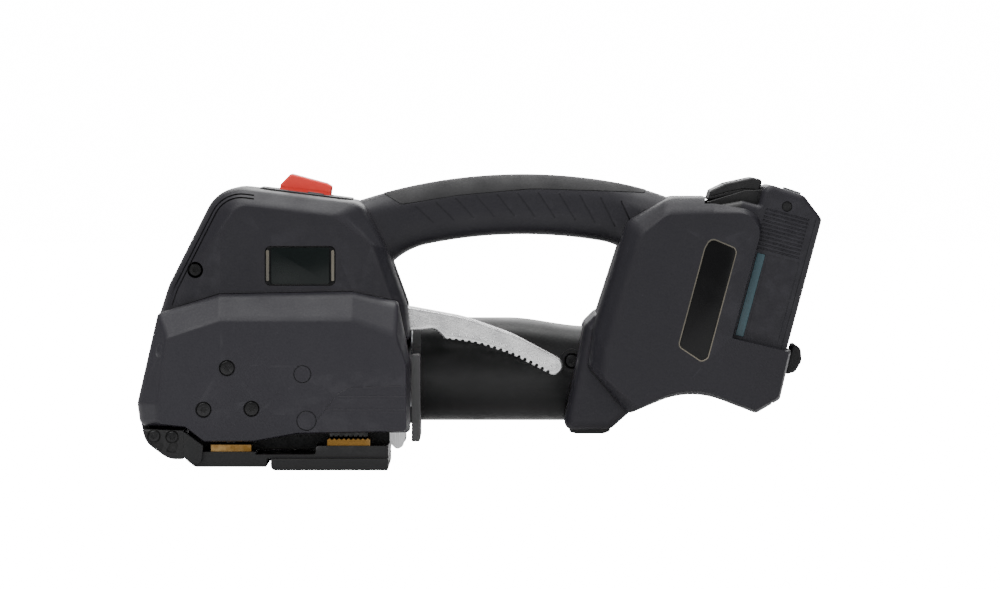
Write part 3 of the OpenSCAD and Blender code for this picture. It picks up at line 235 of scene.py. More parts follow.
bayFrame = Matrix.Translation((bayX, 0, bayZ)) @ Matrix.Rotation(lean, 4, "Y")
topFrame = Matrix.Translation((panelX, 0, panelZ)) @ Matrix.Rotation(topTilt, 4, "Y")


def moved(obj, matrix):
    # matrix works in mm
    obj.data.transform(Matrix.Scale(mm, 4) @ matrix @ Matrix.Scale(1 / mm, 4))
    return obj


def bake(obj):
    # modifiers become plain mesh
    graph = bpy.context.evaluated_depsgraph_get()
    mesh = bpy.data.meshes.new_from_object(obj.evaluated_get(graph), depsgraph=graph)
    obj.modifiers.clear()
    obj.data = mesh
    return obj


def merged(name, parts):
    bm = bmesh.new()
    for part in parts:
        bm.from_mesh(part.data)
        bpy.data.objects.remove(part)
    mesh = bpy.data.meshes.new(name)
    bm.to_mesh(mesh)
    bm.free()
    return newObject(name, mesh)


def combine(obj, tool, how, selfCut=False):
    mod = obj.modifiers.new(how, "BOOLEAN")
    mod.operation = how
    mod.object = tool
    mod.solver = "EXACT"
    mod.use_self = selfCut
    bake(obj)
    bpy.data.objects.remove(tool)
    return obj


def cut(obj, *tools):
    for tool in tools:
        combine(obj, tool, "DIFFERENCE")
    return obj


def add(obj, *tools):
    for tool in tools:
        combine(obj, tool, "UNION")
    return obj


def tidyMesh(obj):
    bm = bmesh.new()
    bm.from_mesh(obj.data)
    bmesh.ops.remove_doubles(bm, verts=bm.verts, dist=1e-6)
    bmesh.ops.dissolve_degenerate(bm, edges=bm.edges, dist=1e-6)
    bmesh.ops.recalc_face_normals(bm, faces=bm.faces)
    bm.to_mesh(obj.data)
    bm.free()
    obj.data.shade_smooth()
    obj.data.set_sharp_from_angle(angle=sharpAngle)


def soften(obj, width):
    mod = obj.modifiers.new("soft edges", "BEVEL")
    mod.width = width * mm
    mod.segments = 2
    mod.limit_method = "ANGLE"
    mod.angle_limit = sharpAngle
    mod.harden_normals = True
    mod.use_clamp_overlap = True
    flat = obj.modifiers.new("even shading", "WEIGHTED_NORMAL")
    flat.keep_sharp = True
    flat.weight = 80


def place(obj, body, material, nodes=(), width=0.3):
    tidyMesh(obj)
    obj.data.materials.clear()
    obj.data.materials.append(material)
    if width:
        soften(obj, width)
    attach(obj, body)
    if nodes:
        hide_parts(*nodes)
    return obj


# surfaces


def shaderGroup(name, inputs, outputs):
    tree = bpy.data.node_groups.new(name, "ShaderNodeTree")
    for label, kind, value in inputs:
        socket = tree.interface.new_socket(label, in_out="INPUT", socket_type="NodeSocket" + kind)
        socket.default_value = value
    for label, kind in outputs:
        tree.interface.new_socket(label, in_out="OUTPUT", socket_type="NodeSocket" + kind)
    return tree, tree.nodes.new("NodeGroupInput"), tree.nodes.new("NodeGroupOutput")


def node(tree, kind, **values):
    made = tree.nodes.new(kind)
    for key, value in values.items():
        if key in made.inputs:
            made.inputs[key].default_value = value
        else:
            setattr(made, key, value)
    return made


def ramp(tree, source, stops):
    made = tree.nodes.new("ShaderNodeValToRGB")
    for i, (place, shade) in enumerate(stops):
        spot = made.color_ramp.elements[i] if i < 2 else made.color_ramp.elements.new(place)
        spot.position = place
        spot.color = (shade, shade, shade, 1)
    tree.links.new(source, made.inputs[0])
    return made.outputs[0]


def makeGrainGroup():
    inputs = [("Size", "Float", 2600), ("Depth", "Float", 0.1)]
    outputs = [("Normal", "Vector"), ("Tone", "Float"), ("Sheen", "Float")]
    tree, come, leave = shaderGroup("moulded grain", inputs, outputs)
    link = tree.links.new
    where = tree.nodes.new("ShaderNodeTexCoord")
    cells = node(tree, "ShaderNodeTexVoronoi")
    fine = node(tree, "ShaderNodeTexNoise", Detail=3.0)
    broad = node(tree, "ShaderNodeTexNoise", Scale=14.0, Detail=4.0)
    drift = node(tree, "ShaderNodeTexNoise", Scale=70.0, Detail=5.0)
    for tex in (cells, fine, broad, drift):
        link(where.outputs["Object"], tex.inputs["Vector"])
    link(come.outputs["Size"], cells.inputs["Scale"])
    link(come.outputs["Size"], fine.inputs["Scale"])
    mix = node(tree, "ShaderNodeMath", operation="ADD")
    link(cells.outputs["Distance"], mix.inputs[0])
    link(fine.outputs["Fac"], mix.inputs[1])
    bump = node(tree, "ShaderNodeBump", Distance=0.00012)
    link(come.outputs["Depth"], bump.inputs["Strength"])
    link(mix.outputs[0], bump.inputs["Height"])
    link(bump.outputs["Normal"], leave.inputs["Normal"])
    link(ramp(tree, broad.outputs["Fac"], [(0.3, 0.0), (0.7, 1.0)]), leave.inputs["Tone"])
    link(ramp(tree, drift.outputs["Fac"], [(0.35, 0.0), (0.65, 1.0)]), leave.inputs["Sheen"])
    return tree


def makeWearGroup():
    inputs = [("Reach", "Float", 0.18)]
    outputs = [("Edge", "Float"), ("Dust", "Float"), ("Marks", "Float")]
    tree, come, leave = shaderGroup("edge wear", inputs, outputs)
    link = tree.links.new
    where = tree.nodes.new("ShaderNodeTexCoord")
    shape = tree.nodes.new("ShaderNodeNewGeometry")
    patches = node(tree, "ShaderNodeTexNoise", Scale=160.0, Detail=6.0)
    link(where.outputs["Object"], patches.inputs["Vector"])
    edge = ramp(tree, shape.outputs["Pointiness"], [(0.53, 0.0), (0.62, 1.0)])
    broken = ramp(tree, patches.outputs["Fac"], [(0.42, 0.0), (0.62, 1.0)])
    worn = node(tree, "ShaderNodeMath", operation="MULTIPLY")
    link(edge, worn.inputs[0])
    link(broken, worn.inputs[1])
    much = node(tree, "ShaderNodeMath", operation="MULTIPLY")
    link(worn.outputs[0], much.inputs[0])
    link(come.outputs["Reach"], much.inputs[1])
    link(much.outputs[0], leave.inputs["Edge"])
    up = node(tree, "ShaderNodeSeparateXYZ")
    link(shape.outputs["Normal"], up.inputs[0])
    top = ramp(tree, up.outputs["Z"], [(0.3, 0.0), (1.0, 1.0)])
    specks = node(tree, "ShaderNodeTexNoise", Scale=900.0, Detail=8.0)
    link(where.outputs["Object"], specks.inputs["Vector"])
    dust = node(tree, "ShaderNodeMath", operation="MULTIPLY")
    link(top, dust.inputs[0])
    link(ramp(tree, specks.outputs["Fac"], [(0.45, 0.0), (0.75, 1.0)]), dust.inputs[1])
    link(dust.outputs[0], leave.inputs["Dust"])
    stretch = node(tree, "ShaderNodeMapping")
    stretch.inputs["Rotation"].default_value = (0.4, 0.9, 0.3)
    stretch.inputs["Scale"].default_value = (40, 1400, 1400)
    link(where.outputs["Object"], stretch.inputs["Vector"])
    lines = node(tree, "ShaderNodeTexNoise", Scale=1.0, Detail=2.0)
    link(stretch.outputs[0], lines.inputs["Vector"])
    link(ramp(tree, lines.outputs["Fac"], [(0.66, 0.0), (0.72, 1.0)]), leave.inputs["Marks"])
    return tree


def makeBrushGroup():
    inputs = [("Along", "Vector", (30, 1500, 1500)), ("Depth", "Float", 0.15)]
    outputs = [("Normal", "Vector"), ("Tone", "Float")]
    tree, come, leave = shaderGroup("brushed lines", inputs, outputs)
    link = tree.links.new
    where = tree.nodes.new("ShaderNodeTexCoord")
    stretch = tree.nodes.new("ShaderNodeVectorMath")
    stretch.operation = "MULTIPLY"
    link(where.outputs["Object"], stretch.inputs[0])
    link(come.outputs["Along"], stretch.inputs[1])
    lines = node(tree, "ShaderNodeTexNoise", Scale=1.0, Detail=5.0, Roughness=0.65)
    link(stretch.outputs[0], lines.inputs["Vector"])
    bump = node(tree, "ShaderNodeBump", Distance=0.0001)
    link(come.outputs["Depth"], bump.inputs["Strength"])
    link(lines.outputs["Fac"], bump.inputs["Height"])
    link(bump.outputs["Normal"], leave.inputs["Normal"])
    link(lines.outputs["Fac"], leave.inputs["Tone"])
    return tree


def makeCastGroup():
    inputs = [("Size", "Float", 700), ("Depth", "Float", 0.5)]
    outputs = [("Normal", "Vector"), ("Tone", "Float"), ("Pits", "Float")]
    tree, come, leave = shaderGroup("casting skin", inputs, outputs)
    link = tree.links.new
    where = tree.nodes.new("ShaderNodeTexCoord")
    blobs = node(tree, "ShaderNodeTexNoise", Detail=8.0, Roughness=0.7)
    pits = node(tree, "ShaderNodeTexVoronoi")
    flow = node(tree, "ShaderNodeTexNoise", Scale=60.0, Detail=4.0, Distortion=1.5)
    for tex in (blobs, pits, flow):
        link(where.outputs["Object"], tex.inputs["Vector"])
    link(come.outputs["Size"], blobs.inputs["Scale"])
    link(come.outputs["Size"], pits.inputs["Scale"])
    bump = node(tree, "ShaderNodeBump", Distance=0.0003)
    link(come.outputs["Depth"], bump.inputs["Strength"])
    link(blobs.outputs["Fac"], bump.inputs["Height"])
    link(bump.outputs["Normal"], leave.inputs["Normal"])
    link(ramp(tree, flow.outputs["Fac"], [(0.3, 0.0), (0.7, 1.0)]), leave.inputs["Tone"])
    link(ramp(tree, pits.outputs["Distance"], [(0.12, 1.0), (0.3, 0.0)]), leave.inputs["Pits"])
    return tree


grainGroup, wearGroup = makeGrainGroup(), makeWearGroup()
brushGroup, castGroup = makeBrushGroup(), makeCastGroup()


def useGroup(tree, group, **values):
    made = tree.nodes.new("ShaderNodeGroup")
    made.node_tree = group
    for key, value in values.items():
        made.inputs[key].default_value = value
    return made


def blendColour(tree, factor, low, high):
    made = tree.nodes.new("ShaderNodeMix")
    made.data_type = "RGBA"
    tree.links.new(factor, made.inputs[0])
    for socket, value in ((made.inputs[6], low), (made.inputs[7], high)):
        if isinstance(value, tuple):
            socket.default_value = value + (1,)
        else:
            tree.links.new(value, socket)
    return made.outputs[2]


def blendValue(tree, factor, low, high):
    made = tree.nodes.new("ShaderNodeMapRange")
    tree.links.new(factor, made.inputs[0])
    made.inputs["To Min"].default_value = low
    made.inputs["To Max"].default_value = high
    return made.outputs[0]


def surface(name, kind, base, second, rough, worn=None, metal=0.0, coat=0.0, size=2600, depth=0.1,
            along=(30, 1500, 1500), dust=0.05, shine=0.5, reach=0.18):
    # base and second are the two tones the pattern runs between
    mat = bpy.data.materials.new(name)
    mat.use_nodes = True
    tree = mat.node_tree
    link = tree.links.new
    shader = tree.nodes["Principled BSDF"]
    fixed = {"Metallic": metal, "Coat Weight": coat, "Coat Roughness": 0.12, "Specular IOR Level": shine}
    for label, value in fixed.items():
        shader.inputs[label].default_value = value
    if kind == "brush":
        look, roughBy = useGroup(tree, brushGroup, Along=along, Depth=depth), "Tone"
    elif kind == "cast":
        look, roughBy = useGroup(tree, castGroup, Size=size, Depth=depth), "Pits"
    else:
        look, roughBy = useGroup(tree, grainGroup, Size=size, Depth=depth), "Sheen"
    link(look.outputs["Normal"], shader.inputs["Normal"])
    colour = blendColour(tree, look.outputs["Tone"], base, second)
    wear = useGroup(tree, wearGroup, Reach=reach)
    worn = worn or tuple(min(1, c * 1.8 + 0.02) for c in base)
    colour = blendColour(tree, wear.outputs["Edge"], colour, worn)
    if dust:
        faint = node(tree, "ShaderNodeMath", operation="MULTIPLY")
        faint.inputs[1].default_value = dust
        link(wear.outputs["Dust"], faint.inputs[0])
        colour = blendColour(tree, faint.outputs[0], colour, (0.3, 0.29, 0.28))
    link(colour, shader.inputs["Base Color"])
    roughness = blendValue(tree, look.outputs[roughBy], rough[0], rough[1])
    marks = node(tree, "ShaderNodeMath", operation="MULTIPLY_ADD")
    marks.inputs[1].default_value = 0.08
    link(wear.outputs["Marks"], marks.inputs[0])
    link(roughness, marks.inputs[2])
    link(marks.outputs[0], shader.inputs["Roughness"])
    return mat


looks = {
    "body": surface("charcoal moulding", "grain", (0.0112, 0.0105, 0.0140), (0.0132, 0.0124, 0.0164),
                    (0.42, 0.52), size=1900, depth=0.2, shine=0.24),
    "cover": surface("charcoal cover", "grain", (0.0150, 0.0142, 0.0186), (0.0175, 0.0166, 0.0214),
                     (0.40, 0.50), size=1900, depth=0.2, shine=0.26),
    "tube": surface("black tube", "grain", (0.0045, 0.0045, 0.0050), (0.0065, 0.0065, 0.0070), (0.34, 0.44),
                    size=2600, depth=0.1, shine=0.3),
    "black": surface("black moulding", "grain", (0.0050, 0.0050, 0.0056), (0.0080, 0.0080, 0.0086),
                     (0.38, 0.5), size=2200, depth=0.16, shine=0.32),
    "rubber": surface("soft rubber", "grain", (0.0120, 0.0118, 0.0130), (0.0160, 0.0158, 0.0170),
                      (0.6, 0.74), size=1300, depth=0.32, shine=0.3),
    "inlay": surface("glossy inlay", "grain", (0.0020, 0.0020, 0.0024), (0.0040, 0.0040, 0.0044),
                     (0.14, 0.24), coat=0.05, size=900, depth=0.03, shine=0.16, dust=0.02),
    "badge": surface("badge glass", "grain", (0.0022, 0.0040, 0.0038), (0.0042, 0.0070, 0.0066),
                     (0.12, 0.22), coat=0.08, size=800, depth=0.03, shine=0.14, dust=0.02),
    # painted highlight: flat beige colour standing for the glints on the badge's glossy ends and along the
    # inlay rims
    "glint": surface("painted beige highlight", "grain", (0.050, 0.045, 0.034), (0.16, 0.14, 0.105), (0.3, 0.45),
                     coat=0.2, size=500, depth=0.05, dust=0.0),
    "red": surface("red button", "grain", (0.80, 0.026, 0.018), (0.90, 0.040, 0.028), (0.34, 0.44),
                   worn=(0.9, 0.16, 0.1), coat=0.1, depth=0.06, dust=0.02),
    "key": surface("grey key", "grain", (0.075, 0.078, 0.082), (0.10, 0.104, 0.108), (0.45, 0.55),
                   depth=0.12),
    "strip": surface("grey strip", "grain", (0.045, 0.045, 0.047), (0.060, 0.060, 0.062), (0.4, 0.52),
                     size=2200, depth=0.12, shine=0.4),
    "lever": surface("cast lever", "cast", (0.58, 0.58, 0.59), (0.88, 0.88, 0.88), (0.22, 0.4),
                     worn=(0.92, 0.92, 0.92), metal=0.85, size=800, depth=0.4, dust=0.0, reach=0.5),
    "casting": surface("frame casting", "cast", (0.16, 0.165, 0.17), (0.24, 0.245, 0.25), (0.42, 0.6),
                       metal=0.8, size=500, depth=0.35, reach=0.4),
    "darkCasting": surface("near black casting", "cast", (0.006, 0.006, 0.0065), (0.012, 0.012, 0.013),
                           (0.42, 0.6), metal=0.3, size=500, depth=0.35, shine=0.3),
    "blackSteel": surface("blackened steel", "brush", (0.0060, 0.0060, 0.0066), (0.0150, 0.0150, 0.0160),
                          (0.3, 0.46), worn=(0.08, 0.08, 0.08), metal=0.3, reach=0.5, shine=0.4),
    "steel": surface("ground steel", "brush", (0.28, 0.29, 0.30), (0.46, 0.47, 0.48), (0.2, 0.4), metal=1.0,
                     along=(1500, 60, 1500), reach=0.4),
    "gold": surface("gold coated plate", "brush", (0.13, 0.068, 0.015), (0.26, 0.14, 0.036), (0.24, 0.42),
                    worn=(0.6, 0.42, 0.2), metal=1.0, along=(60, 1300, 1300), depth=0.3, reach=0.5),
    "guide": surface("polished guide", "brush", (0.55, 0.56, 0.57), (0.78, 0.78, 0.79), (0.18, 0.34),
                     metal=0.5, along=(1300, 1300, 50)),
    "darkScrew": surface("black oxide screw", "cast", (0.006, 0.006, 0.0065), (0.016, 0.016, 0.017),
                         (0.28, 0.45), worn=(0.10, 0.10, 0.105), metal=0.5, size=1500, depth=0.1, shine=0.4,
                         reach=0.4),
    "zincScrew": surface("zinc screw", "cast", (0.30, 0.31, 0.32), (0.45, 0.46, 0.47), (0.25, 0.42),
                         metal=1.0, size=1500, depth=0.12, reach=0.4),
    "teal": surface("teal stripe", "grain", (0.012, 0.040, 0.052), (0.016, 0.050, 0.064), (0.3, 0.42),
                    size=1800, depth=0.06, dust=0.02),
    "cell": surface("cell wrap", "grain", (0.03, 0.16, 0.24), (0.04, 0.2, 0.3), (0.25, 0.38), size=500,
                    depth=0.04),
    "contact": surface("plated contact", "brush", (0.5, 0.34, 0.11), (0.7, 0.5, 0.2), (0.2, 0.35), metal=1.0),
    "board": surface("circuit board", "grain", (0.008, 0.045, 0.02), (0.012, 0.065, 0.03), (0.35, 0.5),
                     coat=0.3, size=300, depth=0.08),
    "belt": surface("belt", "brush", (0.007, 0.007, 0.007), (0.016, 0.016, 0.016), (0.6, 0.75),
                    along=(1200, 1200, 90), depth=0.4),
}
print("surfaces ready:", len(looks))


# node trees for what repeats


def geometryTree(name, inputs, kinds):
    tree = bpy.data.node_groups.new(name, "GeometryNodeTree")
    tree.interface.new_socket("Geometry", in_out="INPUT", socket_type="NodeSocketGeometry")
    for label, kind in inputs:
        tree.interface.new_socket(label, in_out="INPUT", socket_type="NodeSocket" + kind)
    tree.interface.new_socket("Geometry", in_out="OUTPUT", socket_type="NodeSocketGeometry")
    made = {key: tree.nodes.new(kind) for key, kind in kinds.items()}
    made["come"], made["leave"] = tree.nodes.new("NodeGroupInput"), tree.nodes.new("NodeGroupOutput")
    return tree, made


def wire(tree, made, links):
    for giver, output, taker, socket in links:
        tree.links.new(made[giver].outputs[output], made[taker].inputs[socket])
    return tree


def makePathTree():
    # copies of a piece along a path in the XZ plane, each lying along it
    inputs = (("Piece", "Object"), ("Count", "Int"), ("First Size", "Float"), ("Last Size", "Float"),
              ("Material", "Material"))
    tree, made = geometryTree("copies along path", inputs, {
        "curve": "GeometryNodeMeshToCurve", "points": "GeometryNodeCurveToPoints",
        "spot": "GeometryNodeInstanceOnPoints", "piece": "GeometryNodeObjectInfo",
        "align": "FunctionNodeAlignRotationToVector", "index": "GeometryNodeInputIndex",
        "share": "ShaderNodeMath", "size": "ShaderNodeMapRange",
        "real": "GeometryNodeRealizeInstances", "paint": "GeometryNodeSetMaterial"})
    made["align"].axis, made["align"].pivot_axis = "X", "Y"
    made["share"].operation = "DIVIDE"
    return wire(tree, made, (
        ("come", "Geometry", "curve", 0), ("curve", 0, "points", 0), ("come", "Count", "points", "Count"),
        ("points", "Points", "spot", "Points"), ("come", "Piece", "piece", 0),
        ("piece", "Geometry", "spot", "Instance"), ("points", "Tangent", "align", "Vector"),
        ("align", 0, "spot", "Rotation"), ("index", 0, "share", 0), ("come", "Count", "share", 1),
        ("share", 0, "size", 0), ("come", "First Size", "size", "To Min"),
        ("come", "Last Size", "size", "To Max"), ("size", 0, "spot", "Scale"), ("spot", 0, "real", 0),
        ("real", 0, "paint", 0), ("come", "Material", "paint", "Material"), ("paint", 0, "leave", 0)))


def makeScrewTree():
    # a screw head on every vertex, its axis along Facing, turned by chance
    inputs = (("Piece", "Object"), ("Facing", "Vector"), ("Seed", "Int"), ("Material", "Material"))
    tree, made = geometryTree("screw heads", inputs, {
        "spot": "GeometryNodeInstanceOnPoints", "piece": "GeometryNodeObjectInfo",
        "align": "FunctionNodeAlignRotationToVector", "chance": "FunctionNodeRandomValue",
        "spin": "ShaderNodeCombineXYZ", "turn": "FunctionNodeRotateRotation",
        "real": "GeometryNodeRealizeInstances", "paint": "GeometryNodeSetMaterial"})
    made["align"].axis = "Z"
    made["turn"].rotation_space = "LOCAL"
    made["chance"].inputs[3].default_value = 6.28
    return wire(tree, made, (
        ("come", "Geometry", "spot", "Points"), ("come", "Piece", "piece", 0),
        ("piece", "Geometry", "spot", "Instance"), ("come", "Facing", "align", "Vector"),
        ("come", "Seed", "chance", "Seed"), ("chance", 1, "spin", "Z"), ("align", 0, "turn", 0),
        ("spin", 0, "turn", 1), ("turn", 0, "spot", "Rotation"), ("spot", 0, "real", 0),
        ("real", 0, "paint", 0), ("come", "Material", "paint", "Material"), ("paint", 0, "leave", 0)))


pathTree, screwTree = makePathTree(), makeScrewTree()


def runTree(name, tree, points, values, edges=True):
    mesh = bpy.data.meshes.new(name)
    joins = [(i, i + 1) for i in range(len(points) - 1)] if edges else []
    mesh.from_pydata([Vector(p) * mm for p in points], joins, [])
    obj = newObject(name, mesh)
    mod = obj.modifiers.new(name, "NODES")
    mod.node_group = tree
    for item in tree.interface.items_tree:
        if item.in_out == "INPUT" and item.name in values:
            mod[item.identifier] = values[item.name]
    return bake(obj)


def alongPath(name, piece, points, count, first=1.0, last=1.0):
    made = runTree(name, pathTree, points, {"Piece": piece, "Count": count, "First Size": first,
                                            "Last Size": last, "Material": looks["black"]})
    bpy.data.objects.remove(piece)
    return made


def screwHead(name, r, height):
    # pan head with a star-drive socket; its underside is at Z 0
    around, socket, lobes = 48, 1.35, 6
    outline = [(0, 1), (height * 0.55, 1), (height * 0.85, 0.93), (height, 0.8)]
    rings = [[(r * k * math.cos(a), r * k * math.sin(a), h) for a in circle(around)] for h, k in outline]
    for h in (height, height * 0.35):
        reach = [(socket * (1 + 0.16 * math.cos(lobes * a)), a) for a in circle(around)]
        rings.append([(k * math.cos(a), k * math.sin(a), h) for k, a in reach])
    return loft(name, rings)


def screwSet(name, spots, facing, r, height, look, nodes=(), seed=3, shank=None):
    head = screwHead(name + "Head", r, height)
    values = {"Piece": head, "Facing": facing, "Seed": seed, "Material": looks[look]}
    made = runTree(name, screwTree, spots, values, edges=False)
    bpy.data.objects.remove(head)
    if shank:
        way, shankRadius, overlap = Vector(facing), 1.9, 0.05
        shanks = [bar(name + "Shank", Vector(p) + way * overlap, Vector(p) - way * shank, shankRadius, seg=24)
                  for p in spots]
        made = merged(name, [made] + shanks)
    return place(made, "tool", looks[look], nodes, width=0.12)


print("node trees ready")

# head, handle and rear housing
shellWall = 2.6
headHalf = 47
rearHalf = 42.3
faceOf = {-1: 60, 1: 64}
screwSeat = 4.2
screwR = 3.7


def bothSides(half):
    return half + [(-y, c) for y, c in half[::-1]]


def bandSections(face, outer, points, cuts, steps=5):
    # points are (share of the way from face to outer, Y)
    return [(y, between(face, outer, t)) for t, y in softPath(points, cuts, steps)]


def headShape(name):
    half = bandSections(headFace, headOuter, [(-0.22, -headHalf), (0, -headHalf), (0.9, -38), (1, -27)],
                        [(0.8, 0.34), (0.22, 0.5)], 8)
    return loft(name, ringsOf(bothSides(half)))


def headHollow(name):
    drop = [(x, z - (30 if z < 70 else 0), r) for x, z, r in headOuter]
    dropFace = [(x, z - (30 if z < 70 else 0), r) for x, z, r in headFace]
    half = [(-headHalf + shellWall, inset(dropFace, 3.8)), (-headHalf + 3.8, inset(dropFace, 2.6)),
            (-36.7, inset(drop, 4.6)), (-28, inset(drop, 2.6))]
    return loft(name, ringsOf(bothSides(half), 5))


gripR = 274.8
gripThick = 31.0
deepen, widenHead, widenRear = 14, 9, 11
gripX, gripZ = 120, 150.8 - gripR


def gripPoint(angle, radius, y):
    a = math.radians(angle)
    return (gripX + radius * math.sin(a), y, gripZ + radius * math.cos(a))


def gripRing(angle, grow, bottom, wide, top=0.0):
    # rounded section: top is at the arc's outer radius
    hi, lo, w = gripR + grow + top, gripR - bottom - grow, wide + grow
    corner = 13 + grow
    pts = rounded([(lo, -w, corner), (hi, -w, corner * 0.9), (hi, w, corner * 0.9), (lo, w, corner)], 8)
    return [gripPoint(angle, r, y) for r, y in pts]


def flare(angle):
    # how far the ends of the handle spread into the head and the rear housing
    left = max(0.0, -angle - 11.5) / 8.0
    right = max(0.0, angle - 9.5) / 7.0
    return left ** 2.2, right ** 2.2


def gripSwell(angle):
    # half width of the grip, a little fuller in the middle
    return 17.6 + 0.6 * math.cos(math.radians(angle) * 9)


def gripBody(name, grow, start, end, count=61):
    rings = []
    for i in range(count):
        angle = start + (end - start) * i / (count - 1)
        left, right = flare(angle)
        wide = gripSwell(angle) + widenHead * left + widenRear * right
        rings.append(gripRing(angle, grow, gripThick + deepen * left + deepen * right, wide, -1.5 * right))
    return loft(name, rings)


def rearShape(name):
    half = bandSections(rearFace, rearOuter, [(-0.3, -rearHalf), (0, -rearHalf), (0.86, -35.6), (1, -31)],
                        [(0.7, 0.36), (0.34, 0.6)], 8)
    return loft(name, ringsOf(bothSides(half)))


def coverSections(side, grow=0.0):
    face = faceOf[side]
    points = [(-0.14, -face), (0, -face), (0.9, -face + 9.5), (1, -face + 13), (1, -seamY)]
    rows = bandSections(coverFace, coverOuter, points, [(0.7, 0.2), (0.18, 0.5), (0.3, 0.1)], 7)
    rows = [(y, inset(c, -grow)) for y, c in rows]
    if grow:
        rows = [(rows[0][0] - grow, rows[0][1])] + rows[1:-1] + [(-seamY + grow, rows[-1][1])]
    return rows if side < 0 else [(-y, c) for y, c in rows[::-1]]


def coverSolid(name, side, grow=0.0):
    return loft(name, ringsOf(coverSections(side, grow), 9))


# flat panel on the head's sloping top
panel = {"length": 48, "width": 56, "thick": 2, "keyX": 5, "keyY": 19}


def onTop(obj):
    return moved(obj, topFrame)


def flatPlate(name, x0, x1, y0, y1, z0, z1, r, edge=0.5):
    # rounded rectangle lying flat, drawn on its side and laid down
    corners = [(x0, y0, r), (x1, y0, r), (x1, y1, r), (x0, y1, r)]
    obj = softPlate(name, corners, z0, z1, edge)
    obj.data.transform(Matrix(((1, 0, 0, 0), (0, 0, 1, 0), (0, 1, 0, 0), (0, 0, 0, 1))))
    bm = bmesh.new()
    bm.from_mesh(obj.data)
    bmesh.ops.recalc_face_normals(bm, faces=bm.faces)
    bm.to_mesh(obj.data)
    bm.free()
    return obj


shellScrews = [(-48.2, 102.2, -38), (176, 100, 35.3), (167.6, 44, 49.4)]
badge = {"x": 5.8, "z": 104.4, "wide": 36, "high": 20}
inlayShape = [(-26.6, -12, 3), (-13, -16.6, 2.4), (-10.4, -14, 2.4), (-10.4, 44, 3), (-25, 46, 4),
              (-26.6, 40, 3)]


def leaned(corners):
    return [atBay(u, w, r) for u, w, r in corners]


def badgeCorners(d=0.0):
    w, h = badge["wide"] / 2 - d, badge["high"] / 2 - d
    return [(badge["x"] - w, badge["z"] - h, 3), (badge["x"] + w, badge["z"] - h, 3),
            (badge["x"] + w, badge["z"] + h, 3), (badge["x"] - w, badge["z"] + h, 3)]


def tubeShape(name, start, end, r, around=128):
    # the last part of the tube draws in, its underside staying level
    rings = []
    for i in range(41):
        x = start + (end - start) * i / 40
        t = min(1, max(0, (x - 112) / 42))
        drop = 2.3 * t * t * (3 - 2 * t)
        rings.append([(x, tubeY + (r - drop) * math.cos(a), tubeZ - drop + (r - drop) * math.sin(a))
                      for a in circle(around)])
    return loft(name, rings)


def gearboxRoom():
    return bar("gearboxRoom", (50, tubeY, tubeZ), (70, tubeY, tubeZ), 20.5)


def buildSkin():
    skin = headShape("bodySkin")
    add(skin, gripBody("handleSkin", 0, -19.6, 17.6, 73), rearShape("rearSkin"),
        softPlate("webSkin", webOuter, -30, 58.4, 6, soft=5))
    print("  body joined", len(skin.data.polygons))
    cut(skin, headHollow("hollow"))
    cut(skin, block("bayRoom", (-32.6, -37.9, -28.6), (28.6, 37.9, 140), bayFrame))
    cut(skin, coverSolid("leftRoom", -1, 0.25), coverSolid("rightRoom", 1, 0.25))
    cut(skin, block("leverSlot", (32, -21.4, 60), (70, 0.4, 103)))
    cut(skin, tubeShape("tubeRoom", headBack, 156.8, 27.4), gearboxRoom())
    length, width, thick = panel["length"] / 2 + 0.2, panel["width"] / 2 + 0.2, panel["thick"] + 0.2
    cut(skin, onTop(flatPlate("panelSeat", -length, length, -width, width, -thick, 20, 7, 0.01)),
        onTop(block("buttonMouth", (-19, -14, -14), (17, 14, 20))))
    for side in (-1, 1):
        cut(skin, onTop(bar("keyHole", (panel["keyX"], side * panel["keyY"], -9),
                            (panel["keyX"], side * panel["keyY"], 4), 2, seg=24)))
        near, far = across(side, headHalf - 1.2, headHalf + 2)
        cut(skin, plate("badgeSeat", badgeCorners(-0.15), near, far))
        near, far = across(side, rearHalf - 1.2, rearHalf + 2)
        cut(skin, plate("inlaySeat", inset(leaned(inlayShape), -0.15), near, far))
    for x, z, seat in shellScrews:
        cut(skin, barY("mouth", x, z, *sorted((seat, math.copysign(80, seat))), screwSeat))
    cut(skin, block("footSeat", (143.6, -20, 10), (165.6, 20, 20.6)))
    print("  pockets cut", len(skin.data.polygons))
    # seat of the soft pad, and a thin shadow line round it
    cut(skin, padShape("padSeat", 0.22))
    # slanted grooves on both sides of the grip
    path = [gripPoint(a, gripR - 15.5, 0) for a in (-11.3 + 23.4 * i / 30 for i in range(31))]
    slot = bar("groovePiece", (-4.6, 0, 6.2), (4.6, 0, -6.2), 0.42, seg=10)
    slot.data.transform(Matrix.Scale(60, 4, (0, 1, 0)))
    grooves = alongPath("gripGrooves", slot, path, 11, 0.85, 1.15)
    turns = [-15 + 30 * i / 40 for i in range(41)]
    core = loft("grooveCore", [gripRing(angle, -0.55, gripThick, gripSwell(angle)) for angle in turns])
    combine(grooves, core, "DIFFERENCE", selfCut=True)
    combine(skin, grooves, "DIFFERENCE", selfCut=True)
    print("  grip grooved", len(skin.data.polygons))
    # twin bead along the head's front edge
    for side in (-1, 1):
        for depth, y in ((3.2, 37.8), (5.0, 38.5)):
            groove = plate("beadGroove", inset(headOuter, depth), *across(side, y, 60))
            cut(groove, plate("beadInner", inset(headOuter, depth + 0.7), -70, 70),
                block("beadRear", (-18, -70, 0), (120, 70, 200)),
                block("beadLow", (-120, -70, 0), (120, 70, 84)))
            cut(skin, groove)
    return skin


